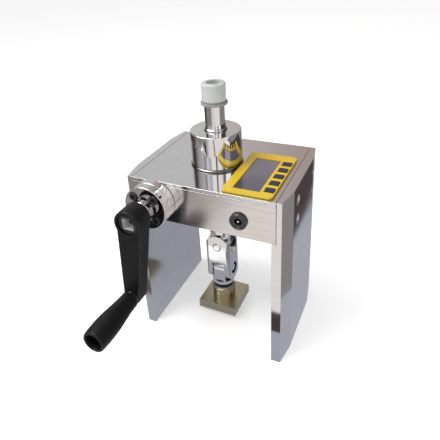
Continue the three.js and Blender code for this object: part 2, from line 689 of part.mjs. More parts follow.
keyPlaces.forEach((y, index) => {
  const cap = box(keyX - keyWidth / 2, keyX + keyWidth / 2, y - keyLength / 2, y + keyLength / 2,
    bezelBottom - gap - keyFlange, bezelTop + 0.5);
  const flange = box(keyX - keyWidth / 2 - 0.8, keyX + keyWidth / 2 + 0.8,
    y - keyLength / 2 - 0.8, y + keyLength / 2 + 0.8, bezelBottom - gap - keyFlange, bezelBottom - gap);
  const stem = rod("z", keyX, y, 0, 1.8, boardTop + 1, bezelBottom, 10);
  addPiece(`key_${index + 1}`, "key_plastic", cap.add(flange).add(stem));
});

addPiece("circuit_board", "board_green", box(pocket.x0 + gap, pocket.x1 - gap, pocket.y0 + gap,
  pocket.y1 - gap, boardZ, boardTop));
addPiece("battery_pack", "battery_blue", roundedBlock(lowPocket.x0 + 9, lowPocket.x1 - 1, -26, 18, blockBottom + 3.4, blockBottom + 19, 2));

const sensorHexX = lowPocket.x0 + gap;
const sensor = disc(5, sensorX + gap, sensorHexX + 1, 20)
  .add(disc(6.6, sensorHexX, sensorHexX + 5, 6))
  .add(disc(3.5, sensorHexX + 4, sensorHexX + 7, 16));
addPiece("pressure_sensor", "satin_steel", alongX(sensor).translate([0, pullY, oilZ]));

// ---------------------------------------------------------------- charging jack
const jackFlange = 2.6;
const onJack = (solid) => alongY(solid).translate([jackX, 0, jackZ]);
const jackFront = panelFrontY - gap - jackFlange;
const jackRear = panelFrontY + 18.3;
addPiece("charging_jack", "black_plastic", onJack(turned([
  [0, jackRear], [5.5, jackRear], [5.5, panelFrontY - gap], [7.6, panelFrontY - gap],
  [7.6, jackFront + 0.9], [6.7, jackFront], [3.4, jackFront], [3.2, jackFront + 0.6],
  [3.2, jackFront + 9], [1.5, jackFront + 9], [1.5, jackFront + 12.4], [0, jackFront + 12.4],
], 20)));
addPiece("jack_pin", "nickel_brass", onJack(disc(1, jackFront + 1, jackFront + 12, 12)));

export default group;
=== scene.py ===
"""Looks of the pull-off adhesion tester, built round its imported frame."""

import json
import math

import bmesh
import bpy
from bpy.props import FloatProperty, FloatVectorProperty, IntProperty, PointerProperty
from bpy.types import Operator, Panel, PropertyGroup
from mathutils import Matrix, Vector

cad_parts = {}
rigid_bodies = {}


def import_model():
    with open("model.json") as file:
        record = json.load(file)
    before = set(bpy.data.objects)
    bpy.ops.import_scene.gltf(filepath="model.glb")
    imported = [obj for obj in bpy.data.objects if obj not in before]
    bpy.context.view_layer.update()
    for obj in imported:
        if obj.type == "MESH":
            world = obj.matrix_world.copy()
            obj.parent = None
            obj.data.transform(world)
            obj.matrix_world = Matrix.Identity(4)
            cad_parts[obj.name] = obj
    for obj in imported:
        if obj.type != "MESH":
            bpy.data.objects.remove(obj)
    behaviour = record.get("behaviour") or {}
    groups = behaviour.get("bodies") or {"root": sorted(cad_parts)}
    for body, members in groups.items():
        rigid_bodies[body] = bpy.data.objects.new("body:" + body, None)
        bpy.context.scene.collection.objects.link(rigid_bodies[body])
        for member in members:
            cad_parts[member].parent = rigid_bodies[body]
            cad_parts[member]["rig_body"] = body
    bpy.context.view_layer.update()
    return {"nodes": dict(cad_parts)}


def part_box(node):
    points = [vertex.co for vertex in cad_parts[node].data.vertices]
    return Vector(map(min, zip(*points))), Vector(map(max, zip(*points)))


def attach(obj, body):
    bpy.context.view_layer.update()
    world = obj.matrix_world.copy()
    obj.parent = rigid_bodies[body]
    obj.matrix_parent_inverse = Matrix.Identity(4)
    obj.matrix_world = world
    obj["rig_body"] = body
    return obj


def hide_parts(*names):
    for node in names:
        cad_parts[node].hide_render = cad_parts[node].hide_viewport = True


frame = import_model()

bl_info = {
    "name": "Pull-Off Adhesion Tester",
    "version": (1, 0, 0),
    "blender": (4, 5, 0),
    "location": "3D View > Sidebar > Tester",
    "description": "Detailed pieces, finishes and studio for the pull-off adhesion tester",
    "category": "Object",
}

MM = 0.001
FULL_TURN = 2 * math.pi
SHARP = math.radians(32)
TURN_Y = Matrix.Rotation(math.radians(-90), 4, "X")
TURN_X = Matrix.Rotation(math.radians(90), 4, "Y")
FRONTWARDS = Matrix.Rotation(math.radians(90), 4, "X")
GAP = 0.3 * MM  # room between neighbouring pieces
PAST = 1 * MM  # how far a tool reaches past what it cuts
NEAR = 0.1 * MM  # how close counts as touching when edges are picked
FOUR = (1, 2, 3, 4)
RUBBED_BLACK = (0.02, 0.02, 0.021)


# ------------------------------------------------------------------ settings
def length(name, description, default, low=0.0, high=100.0):
    """A length property, given in millimetres and kept in metres."""
    return FloatProperty(
        name=name,
        description=description,
        default=default * MM,
        min=low * MM,
        max=high * MM,
        unit="LENGTH",
        subtype="DISTANCE",
        precision=5,
    )


def amount(name, description, default, low=0.0, high=1.0):
    return FloatProperty(name=name, description=description, default=default, min=low, max=high)


def angle(name, description, default):
    return FloatProperty(
        name=name,
        description=description,
        default=math.radians(default),
        unit="ROTATION",
        subtype="ANGLE",
    )


def colour(name, description, default):
    return FloatVectorProperty(
        name=name,
        description=description,
        default=default,
        size=3,
        min=0,
        max=1,
        subtype="COLOR",
    )


class TesterSizes(PropertyGroup):
    edge_round: length("Edge round", "Rounding of machined edges", 0.35, 0.02, 1)
    fine_round: length("Fine round", "Rounding of small parts' edges", 0.2, 0.02, 0.6)
    steps: IntProperty(
        name="Turned steps",
        description="Steps round a turned part",
        default=96,
        min=24,
        max=192,
    )
    chamfer_across: length("Chamfer across", "Side plate chamfer across the width", 3.6)
    chamfer_along: length("Chamfer along", "Side plate chamfer along the depth", 21.5)
    counterbore: length("Counterbore", "Room round a plate screw's head", 0.45, 0.3, 1)
    arm_round: length("Arm round", "Rounding of the crank arm's edges", 1.6, 0.2, 2.2)
    knob_groove: length("Knob groove", "Depth of the groove above the knob's flange", 0.9)
    thread_pitch: length("Thread pitch", "Pitch of the pull rod's thread", 1.5, 0.5, 3)


class TesterFinishes(PropertyGroup):
    steel: colour("Polished steel", "Tint of the polished steel", (0.70, 0.69, 0.69))
    satin: colour("Brushed steel", "Tint of the brushed covers", (0.70, 0.665, 0.65))
    knob: colour("Knob", "Grey-green of the knob", (0.46, 0.475, 0.45))
    crank: colour("Crank", "Black of the crank and its grip", (0.0026, 0.0026, 0.003))
    bezel: colour("Bezel", "Yellow of the display's surround", (0.62, 0.43, 0.012))
    screen: colour("Screen", "Dark violet grey of the screen", (0.075, 0.068, 0.09))
    keys: colour("Keys", "Slate blue of the keys", (0.010, 0.018, 0.040))
    plating: colour("Plating", "Olive nickel plating of the test plate", (0.47, 0.43, 0.32))
    black_steel: colour("Blacked steel", "Blacked screws", (0.02, 0.02, 0.022))
    polish: amount("Polish", "Roughness of polished steel", 0.05)
    brushing: amount("Brushing", "Roughness of brushed steel", 0.15)


class TesterStage(PropertyGroup):
    floor: colour("Floor", "Colour of the floor", (0.92, 0.92, 0.92))
    board: colour("Board", "Blue grey that the steel reflects below", (0.47, 0.485, 0.55))
    paper: colour("Paper", "Pale sheet that the steel reflects in front", (0.97, 0.93, 0.91))
    bench: colour("Bench", "Brown that the steel reflects round the board", (0.12, 0.085, 0.09))
    sky: amount("Sky", "Strength of the light from all round", 0.6, 0, 5)
    room: amount("Room", "Brightness of what the steel reflects round it", 1.5, 0, 5)
    key_light: amount("Key light", "Power of the large light, in watts", 14, 0, 200)
    side_light: amount("Side light", "Power of the side light, in watts", 2, 0, 200)
    camera_place: FloatVectorProperty(
        name="Camera place",
        description="Where the camera stands",
        default=(0.15298, -0.28756, 0.35050),
        size=3,
        unit="LENGTH",
        subtype="XYZ",
    )
    azimuth: angle("Azimuth", "Camera's turn round the tester", 26.693)
    elevation: angle("Elevation", "Camera's angle above the floor", 25.815)
    roll: angle("Roll", "Camera's tilt about its own axis", -3.611)
    lens: FloatProperty(name="Lens", description="Focal length in mm", default=36.76)


# ------------------------------------------------------------------ shader maths
class Signal:
    """One output of a material's node; sums and products of it add Math nodes."""

    def __init__(self, nodes, socket):
        self.nodes = nodes
        self.socket = socket

    def maths(self, operation, *terms):
        return self.nodes.node("ShaderNodeMath", {"operation": operation}, dict(enumerate(terms)))

    def __add__(self, other):
        return self.maths("ADD", self, other)

    __radd__ = __add__

    def __sub__(self, other):
        return self.maths("SUBTRACT", self, other)

    def __rsub__(self, other):
        return self.maths("SUBTRACT", other, self)

    def __mul__(self, other):
        return self.maths("MULTIPLY", self, other)

    __rmul__ = __mul__

    def __pow__(self, other):
        return self.maths("POWER", self, other)

    def between(self, low, high):
        """0 below low, 1 above high, and a smooth step between them."""
        return self.nodes.node(
            "ShaderNodeMapRange",
            {"interpolation_type": "SMOOTHSTEP"},
            {"Value": self, "From Min": low, "From Max": high},
        )

    def wave(self):
        """The sine without its sign, which draws lines or cells."""
        return self.maths("ABSOLUTE", self.maths("SINE", self))


class Nodes:
    """The node tree of a material or of the world."""

    def __init__(self, tree):
        self.tree = tree
        tree.nodes.clear()

    def feed(self, socket, value):
        if isinstance(value, Signal):
            self.tree.links.new(value.socket, socket)
        elif socket.type == "RGBA" and len(value) == 3:
            socket.default_value = (*value, 1)
        else:
            socket.default_value = value

    def node(self, kind, settings=None, inputs=None, output=0):
        made = self.tree.nodes.new(kind)
        for key, value in (settings or {}).items():
            if key == "stops":
                self.set_stops(made.color_ramp, value)
            else:
                setattr(made, key, value)
        for key, value in (inputs or {}).items():
            self.feed(made.inputs[key], value)
        return Signal(self, made.outputs[output])

    @staticmethod
    def set_stops(ramp, stops):
        for _ in range(len(stops) - 2):
            ramp.elements.new(0.5)
        for element, (place, shade) in zip(ramp.elements, stops):
            element.position = place
            element.color = (*shade, 1)

    def place(self, scale=1, centre=(0, 0, 0), turn=(0, 0, 0)):
        """Object coordinates measured from centre, in metres times scale."""
        scales = scale if isinstance(scale, tuple) else (scale,) * 3
        coordinates = self.node("ShaderNodeTexCoord", output="Object")
        moved = self.node(
            "ShaderNodeVectorMath",
            {"operation": "SUBTRACT"},
            {0: coordinates, 1: tuple(centre)},
        )
        return self.node(
            "ShaderNodeMapping",
            {"vector_type": "POINT"},
            {"Vector": moved, "Rotation": turn, "Scale": scales},
        )

    def noise(self, vector, detail=2, rough=0.5, distortion=0):
        named = {"Detail": detail, "Roughness": rough, "Distortion": distortion}
        return self.node("ShaderNodeTexNoise", {}, {"Vector": vector, "Scale": 1, **named})

    def grain(self, scale, centre=(0, 0, 0), turn=(0, 0, 0), **kind):
        """Noise in object coordinates."""
        vector = self.place(scale, centre, turn)
        return self.noise(vector, **kind)

    def mix(self, share, first, second, blend="MIX"):
        return self.node(
            "ShaderNodeMix",
            {"data_type": "RGBA", "blend_type": blend},
            {0: share, 6: first, 7: second},
            output=2,
        )

    def split(self, vector, axis):
        return self.node("ShaderNodeSeparateXYZ", {}, {0: vector}, output=axis)


class Finish(Nodes):
    """A material made of a Principled shader and the nodes that feed it."""

    SOCKETS = {"Ior": "IOR", "Specular Level": "Specular IOR Level"}

    def __init__(self, name, **constants):
        self.material = bpy.data.materials.get(name) or bpy.data.materials.new(name)
        self.material.use_nodes = True
        super().__init__(self.material.node_tree)
        self.shader = self.tree.nodes.new("ShaderNodeBsdfPrincipled")
        output = self.tree.nodes.new("ShaderNodeOutputMaterial")
        self.tree.links.new(self.shader.outputs[0], output.inputs["Surface"])
        for socket, value in constants.items():
            self.set(socket.replace("_", " ").title(), value)

    def set(self, socket, value):
        self.feed(self.shader.inputs[self.SOCKETS.get(socket, socket)], value)

    def worn(self):
        """1 on the rounded edges of a piece."""
        return self.node("ShaderNodeAttribute", {"attribute_name": "worn"}, output="Fac")

    def done(self, base, rough, height=None, strength=0, distance=0):
        """The material, with its colour, roughness and bump wired up."""
        self.set("Base Color", base)
        self.set("Roughness", rough)
        if height is not None:
            bump = {"Height": height, "Strength": strength, "Distance": distance}
            self.set("Normal", self.node("ShaderNodeBump", {}, bump))
        return self.material


def shade(rgb, factor):
    return tuple(min(1.0, channel * factor) for channel in rgb)


def polished_steel(name, tint, polish, centre=(0, 0, 0)):
    """Mirror polish with faint wipe marks, finger haze and hairline scratches."""
    steel = Finish(name, metallic=1.0)
    haze = steel.grain(34, centre, detail=3, rough=0.6, distortion=0.4)
    haze = haze.between(0.45, 0.75)
    wipes = steel.grain((20, 60, 260), centre, (0.5, 0.3, 0.2), detail=3).between(0.5, 0.8)
    hairline = steel.grain((40, 900, 3200), centre, (0.35, 0.1, 0.6), detail=2)
    scratches = hairline.between(0.66, 0.74)
    wave = steel.grain(16, centre, detail=1)
    return steel.done(
        steel.mix(haze * 0.6, tint, shade(tint, 0.93)),
        polish + haze * 0.045 + wipes * 0.025 + scratches * 0.05 + steel.worn() * 0.06,
        wave * 0.8 + hairline * 0.06, 0.1, 0.00012,
    )


def brushed_steel(name, tint, rough):
    """Long brush lines along X, with a little handling haze."""
    steel = Finish(name, metallic=1.0)
    fine = steel.grain((14, 2600, 2600), detail=3, rough=0.6)
    broad = steel.grain((8.4, 624, 624), detail=2)
    haze = steel.grain(26, detail=3, distortion=0.5).between(0.42, 0.78)
    return steel.done(
        steel.mix(broad.between(0.3, 0.7), tint, shade(tint, 0.9)),
        rough + (fine - 0.5) * 0.1 + haze * 0.06 + steel.worn() * 0.08,
        fine * 0.8 + broad * 0.2, 0.12, 0.00005,
    )


def turned_steel(name, tint, rough, centre, axis="Y"):
    """Fine tool rings round the part's axis."""
    steel = Finish(name, metallic=1.0)
    place = steel.place(1, centre)
    flat = [part for part in (0, 1, 2) if part != "XYZ".index(axis)]
    across, up = (steel.split(place, part) for part in flat)
    radius = (across * across + up * up) ** 0.5
    along = steel.split(place, "XYZ".index(axis))
    coordinates = steel.node("ShaderNodeCombineXYZ", {}, {0: radius * 4200, 1: along * 4200})
    rings = steel.noise(coordinates, detail=2, rough=0.65)
    stain = steel.grain(90, centre, detail=3).between(0.4, 0.8)
    return steel.done(
        steel.mix(stain * 0.5, tint, shade(tint, 0.86)),
        rough + (rings - 0.5) * 0.12 + stain * 0.06,
        rings, 0.18, 0.00006,
    )


def moulded_plastic(name, tint, rough, grain, depth, rubbed_tint, coat=0.0, sheen=0.5, foot=None):
    """Fine moulding grain and rubbed edges; darker below the height foot."""
    plastic = Finish(
        name, ior=1.45, coat_weight=coat, coat_roughness=0.12, specular_level=sheen
    )
    fine = plastic.grain(grain, detail=2, rough=0.6)
    cloud = plastic.grain(60, detail=3).between(0.35, 0.75)
    rubbed = plastic.worn() * plastic.grain(220, detail=2).between(0.42, 0.62)
    base = plastic.mix(cloud, tint, shade(tint, 0.86))
    if foot:
        height = plastic.split(plastic.place(1), 2)
        above = height.between(foot - 0.2 * MM, foot + 0.6 * MM)
        base = plastic.mix(above, shade(tint, 0.5), base)
    return plastic.done(
        plastic.mix(rubbed * 0.55, base, rubbed_tint),
        rough + (fine - 0.5) * 0.12 + cloud * 0.07 - rubbed * 0.1,
        fine, 0.35, depth,
    )


def nickel_plate(name, tint, rough):
    """Olive nickel plating with cloudy stains and scuffed corners."""
    plating = Finish(name, metallic=1.0)
    cloud = plating.grain(110, detail=4, rough=0.6, distortion=0.6).between(0.35, 0.7)
    speck = plating.grain(900, detail=2).between(0.6, 0.75)
    scuff = plating.grain((300, 2600, 900), (0, 0, 0), (0.3, 0.2, 0.7), detail=2)
    warm = tuple(channel * factor for channel, factor in zip(tint, (1.05, 1.0, 0.9)))
    base = plating.mix(cloud, tint, warm)
    base = plating.mix(speck * 0.5, base, shade(tint, 0.6))
    return plating.done(
        plating.mix(plating.worn() * 0.6, base, shade(tint, 1.5)),
        rough + cloud * 0.1 + (scuff - 0.5) * 0.12,
        scuff * 0.6 + cloud * 0.4, 0.2, 0.00008,
    )


def bead_blasted(name, tint, rough, metallic=1.0):
    """An even matt metal with a fine blasted grain."""
    metal = Finish(name, metallic=metallic)
    grain = metal.grain(2400, detail=2, rough=0.7)
    stain = metal.grain(55, detail=3).between(0.4, 0.75)
    return metal.done(
        metal.mix(stain, tint, shade(tint, 0.8)),
        rough + (grain - 0.5) * 0.16 + stain * 0.08,
        grain, 0.4, 0.00008,
    )


def matt_black(name, tint):
    black = Finish(name, ior=1.48)
    grain = black.grain(1500, detail=3)
    dust = black.grain(80, detail=3).between(0.5, 0.8)
    return black.done(
        black.mix(dust * 0.3, tint, (0.09, 0.088, 0.085)),
        0.55 + grain * 0.2 + dust * 0.1,
        grain, 0.3, 0.0001,
    )


def film(name, tint, deep):
    """Printed membrane: an even yellow that turns deeper towards one end."""
    lacquer = Finish(name, ior=1.5, coat_weight=0.35, coat_roughness=0.15)
    low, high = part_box("display_bezel")
    along = lacquer.split(lacquer.place(1, low), 1) * (1 / (high.y - low.y))
    cloud = lacquer.grain(38, detail=2)
    fleck = lacquer.grain(2200, detail=1)
    share = (along + (cloud - 0.5) * 0.5).between(0.15, 1.0)
    return lacquer.done(
        lacquer.mix(share, tint, deep),
        0.3 + cloud * 0.1 + fleck * 0.06,
        fleck, 0.15, 0.00004,
    )


def screen_glass(name, tint, sheen):
    """Display glass: dark layer with a faint cell grid under a gloss coat, and a painted sheen
    that lightens it towards the back end.
    """
    glass = Finish(name, ior=1.52, coat_weight=0.6, coat_roughness=0.04)
    low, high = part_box("lcd_module")
    place = glass.place(1, low)
    along = glass.split(place, 1) * (1 / (high.y - low.y))
    rows, columns = ((glass.split(place, axis) * 2200).wave() for axis in (0, 1))
    cells = (rows * columns).between(0.0, 0.35)
    cloud = glass.grain(45, detail=2)
    # painted sheen: the dark glass colour turns to the lighter sheen colour towards the back end
    base = glass.mix((along + (cloud - 0.5) * 0.4).between(0.1, 0.95), tint, sheen)
    return glass.done(
        glass.mix(cells * 0.25, base, shade(tint, 0.6)),
        0.12 + cloud * 0.08,
    )


def circuit(name):
    """Green lacquer over copper tracks and pads."""
    board = Finish(name, ior=1.5, coat_weight=0.3, coat_roughness=0.2)
    place = board.place(1)
    across = (board.split(place, 0) * 1400).wave().between(0.82, 0.9)
    along = (board.split(place, 1) * 900).wave().between(0.9, 0.95)
    patches = board.grain(70, detail=1).between(0.48, 0.5)
    tracks = across * patches + along * (1 - patches)
    return board.done(
        board.mix(tracks, (0.006, 0.09, 0.03), (0.03, 0.22, 0.08)),
        0.35 + tracks * 0.1 + board.grain(300) * 0.1,
        tracks, 0.3, 0.00005,
    )


def wrap(name, tint):
    """Shrink wrap of the battery pack with faint creases."""
    sleeve = Finish(name, ior=1.5, coat_weight=0.3, coat_roughness=0.1)
    crease = sleeve.grain((120, 30, 200), detail=3, distortion=1.2)
    cloud = sleeve.grain(70, detail=2)
    return sleeve.done(
        sleeve.mix(cloud.between(0.3, 0.7), tint, shade(tint, 0.75)),
        0.28 + crease * 0.18,
        crease, 0.4, 0.0003,
    )


def finishes():
    return bpy.context.scene.tester_finishes


def sizes():
    return bpy.context.scene.tester_sizes


# ------------------------------------------------------------------ modelling
def centre_of(node):
    low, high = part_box(node)
    return (low + high) / 2


def half_width(node, axis=0):
    """Half of a node's width along X, or along the axis given."""
    low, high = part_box(node)
    return (high[axis] - low[axis]) / 2


def turned(profile, closed=False, steps=None):
    """A profile of (radius, height) in metres, spun about the Z axis."""
    made = bmesh.new()
    corners = [made.verts.new((radius, 0, height)) for radius, height in profile]
    edges = [made.edges.new(pair) for pair in zip(corners, corners[1:])]
    if closed:
        edges.append(made.edges.new((corners[-1], corners[0])))
    bmesh.ops.spin(
        made,
        geom=corners + edges,
        cent=(0, 0, 0),
        axis=(0, 0, 1),
        angle=FULL_TURN,
        steps=steps or sizes().steps,
        use_merge=True,
    )
    return cleaned(made)


def sleeve(inner, outer, low, high):
    """A plain ring between two radii and two heights."""
    return turned([(inner, low), (outer, low), (outer, high), (inner, high)], closed=True)


def drum(radius, low, high, steps=None):
    """A round bar with a pole at the middle of each end."""
    return turned([(0, low), (radius, low), (radius, high), (0, high)], steps=steps)


def cleaned(made):
    bmesh.ops.remove_doubles(made, verts=made.verts, dist=0.0005 * MM)
    bmesh.ops.recalc_face_normals(made, faces=made.faces)
    return made


def moved(made, *matrices):
    for matrix in matrices:
        bmesh.ops.transform(made, matrix=matrix, verts=made.verts)
    return made


def at(*place):
    return Matrix.Translation(Vector(place))


def along_y(made, spot):
    """Lays a part built along Z down along Y, on the axis through spot."""
    return moved(made, TURN_Y, at(spot.x, 0, spot.z))


def block(low, high):
    """A box between two corners."""
    made = bmesh.new()
    low, high = Vector(low), Vector(high)
    matrix = Matrix.Translation((low + high) / 2) @ Matrix.Diagonal((*(high - low), 1))
    bmesh.ops.create_cube(made, size=1, matrix=matrix)
    return made


def disc(radius, low, high, segments=64):
    """A round bar along Z between two heights."""
    made = bmesh.new()
    bmesh.ops.create_cone(
        made,
        cap_ends=True,
        segments=segments,
        radius1=radius,
        radius2=radius,
        depth=high - low,
        matrix=at(0, 0, (low + high) / 2),
    )
    return made


def rounded(made, width, segments=6, pick=None):
    """Rounds the edges that pick chooses, or every sharp one, and marks them as worn."""
    worn = made.faces.layers.float.get("worn") or made.faces.layers.float.new("worn")
    chosen = [
        edge
        for edge in made.edges
        if len(edge.link_faces) == 2
        and (pick(edge) if pick else edge.calc_face_angle(0) > SHARP)
    ]
    if not chosen:
        return made
    result = bmesh.ops.bevel(
        made,
        geom=chosen,
        offset=width,
        offset_type="OFFSET",
        segments=segments,
        affect="EDGES",
        profile=0.5,
        material=-1,
        clamp_overlap=True,
    )
    for face in result["faces"]:
        face[worn] = 1
    return made


def top_rim(radius, height):
    """Picks the outer edges at the top of a turned part."""

    def picked(edge):
        return all(
            vert.co.xy.length > radius - NEAR and vert.co.z > height - NEAR
            for vert in edge.verts
        )

    return picked


def upright(edge):
    along = edge.verts[1].co - edge.verts[0].co
    return abs(along.z) > 0.99 * along.length


def object_of(name, made):
    mesh = bpy.data.meshes.new(name)
    made.to_mesh(mesh)
    made.free()
    shown = bpy.data.objects.new(name, mesh)
    bpy.context.scene.collection.objects.link(shown)
    return shown


def combined(made, tools, operation="DIFFERENCE"):
    """The solid with each tool solid taken away, joined, or kept in common."""
    body = object_of("combined_body", made)
    cutters = [object_of("combined_tool", tool) for tool in tools]
    for cutter in cutters:
        step = body.modifiers.new("combine", "BOOLEAN")
        step.object = cutter
        step.operation = operation
        step.solver = "EXACT"
    bpy.context.view_layer.update()
    graph = bpy.context.evaluated_depsgraph_get()
    mesh = bpy.data.meshes.new_from_object(body.evaluated_get(graph), depsgraph=graph)
    result = bmesh.new()
    result.from_mesh(mesh)
    bpy.data.meshes.remove(mesh)
    for temporary in [body, *cutters]:
        data = temporary.data
        bpy.data.objects.remove(temporary)
        bpy.data.meshes.remove(data)
    return cleaned(result)


def copied(node):
    """A merged copy of a CAD node with its flat faces whole again."""
    made = bmesh.new()
    made.from_mesh(frame["nodes"][node].data)
    bmesh.ops.remove_doubles(made, verts=made.verts, dist=0.001 * MM)
    bmesh.ops.dissolve_limit(
        made,
        angle_limit=math.radians(1.5),
        use_dissolve_boundaries=False,
        verts=made.verts,
        edges=made.edges,
        delimit={"NORMAL"},
    )
    return made


def piece(name, made, finish, *nodes, flat=80, width=None, segments=3):
    """Turns a mesh into a finished piece that stands for the CAD nodes named."""
    if width != 0:
        rounded(made, width or sizes().fine_round, segments)
    shown = object_of(name, made)
    shown.data.shade_smooth()
    shown.data.set_sharp_from_angle(angle=math.radians(40))
    shown.data.materials.append(finish)
    if flat:
        normals = shown.modifiers.new("even faces", "WEIGHTED_NORMAL")
        normals.weight = flat
        normals.keep_sharp = True
    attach(shown, frame["nodes"][nodes[0]]["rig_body"])
    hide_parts(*nodes)
    frame["nodes"][nodes[0]].data.materials[0].name.split(".")[0]
    return shown


def cap_screw(head, height, shank, total, socket, depth):
    """A socket head cap screw along Z, with the top of its head at zero."""
    edge = head * 0.1
    body = turned(
        [(0, 0), (head - edge, 0), (head, -edge), (head, -height), (shank, -height)]
        + [(shank, -total + shank * 0.2), (shank * 0.8, -total), (0, -total)],
        steps=48,
    )
    hexagon = disc(socket, -depth, PAST, segments=6)
    rim = -depth + 0.1 * MM
    cone = turned([(0, -depth - socket * 0.35), (socket * 0.86, rim), (0, rim)], steps=24)
    return combined(body, [hexagon, cone])


def second_finish(shown, finish, chosen):
    """Gives the faces that chosen picks a second material."""
    shown.data.materials.append(finish)
    for face in shown.data.polygons:
        if chosen(face):
            face.material_index = 1


def dress(nodes, finish):
    for node in nodes:
        shown = frame["nodes"][node]
        shown.data.materials.clear()
        shown.data.materials.append(finish)


# ------------------------------------------------------------------ operators
class TESTER_OT_side_plates(Operator):
    """Two chamfered side plates with their counterbored cap screws"""

    bl_idname = "tester.side_plates"
    bl_label = "Side Plates"

    def execute(self, context):
        own, tints = sizes(), finishes()
        screw_steel = polished_steel("screw steel", tints.steel, tints.polish + 0.05)
        for side, sign, haze in (("right", 1, 0.03), ("left", -1, 0.09)):
            steel = polished_steel(f"polished {side} plate", tints.steel, tints.polish + haze)
            plate = combined(self.slab(own), self.tools(own))
            plate = cleaned(moved(plate, Matrix.Diagonal((sign, 1, 1, 1))))
            rounded(plate, own.edge_round, 3, self.chamfered)
            piece(f"{side}_plate_polished", plate, steel, f"{side}_side_plate", flat=100, width=0)
            for number in FOUR:
                node = f"{side}_plate_screw_{number}"
                low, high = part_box(node)
                middle, head = centre_of(node), half_width(node, 2)
                screw = cap_screw(head, 3.7 * MM, 2.9 * MM, high.x - low.x, 2.9 * MM, 2.6 * MM)
                turn = Matrix.Rotation(math.radians(17 * number), 4, "Z")
                aim = Matrix.Rotation(math.radians(90 * sign), 4, "Y")
                face = high.x if sign > 0 else low.x
                moved(screw, turn, aim, at(face, middle.y, middle.z))
                piece(f"{side}_cap_screw_{number}", screw, screw_steel, node)
        return {"FINISHED"}

    def slab(self, own):
        """The plate's outline with its long chamfers, drawn up to its full height."""
        low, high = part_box("right_side_plate")
        inset, along = high.x - own.chamfer_across, own.chamfer_along
        front = [(low.x, low.y), (inset, low.y), (high.x, low.y + along)]
        back = [(high.x, high.y - along), (inset, high.y), (low.x, high.y)]
        plate = bmesh.new()
        bottom = plate.faces.new([plate.verts.new((x, y, low.z)) for x, y in front + back])
        raised = bmesh.ops.extrude_face_region(plate, geom=[bottom])
        top = [item for item in raised["geom"] if isinstance(item, bmesh.types.BMVert)]
        bmesh.ops.translate(plate, vec=(0, 0, high.z - low.z), verts=top)
        return cleaned(plate)

    def tools(self, own):
        """The rebate for the covers, and each screw's counterbore and bore."""
        low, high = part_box("right_side_plate")
        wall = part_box("top_cover")[1].x + GAP
        foot = (low.x - PAST, low.y - PAST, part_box("front_cover")[0].z - GAP)
        tools = [block(foot, (wall, high.y + PAST, high.z + PAST))]
        for number in FOUR:
            node = f"right_plate_screw_{number}"
            place = at(0, *centre_of(node).yz)
            radius = half_width(node, 2) + own.counterbore
            for tool in (
                disc(radius, high.x - 4.6 * MM, high.x + PAST),
                disc(3.2 * MM, low.x - PAST, high.x),
            ):
                tools.append(moved(tool, TURN_X, place))
        return tools

    def chamfered(self, edge):
        """Every edge but the steps round a bore."""
        return edge.calc_face_angle(0) > math.radians(7)


class TESTER_OT_covers(Operator):
    """Top, front, rear and bottom covers of the box, and the oil filler plug"""

    bl_idname = "tester.covers"
    bl_label = "Box Covers"

    def execute(self, context):
        tints = finishes()
        top = polished_steel("polished cover", shade(tints.steel, 0.97), tints.polish + 0.03)
        front = brushed_steel("brushed cover", tints.satin, tints.brushing)
        rear = brushed_steel(
            "brushed rear cover", shade(tints.satin, 0.96), tints.brushing + 0.05
        )
        for name, finish in (
            ("top_cover_polished", top),
            ("front_cover_brushed", front),
            ("rear_cover_brushed", rear),
            ("bottom_cover_brushed", rear),
        ):
            node = name.rsplit("_", 1)[0]
            piece(name, copied(node), finish, node, flat=100)
        low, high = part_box("oil_filler_plug")
        middle, head = centre_of("oil_filler_plug"), half_width("oil_filler_plug")
        steel = turned_steel("plug steel", (0.62, 0.61, 0.6), 0.22, middle)
        plug = cap_screw(head, 3.2 * MM, head * 0.66, high.y - low.y, 3.4 * MM, 2.4 * MM)
        moved(plug, TURN_Y, at(middle.x, high.y, middle.z))
        piece("oil_filler_screw", plug, steel, "oil_filler_plug")
        return {"FINISHED"}


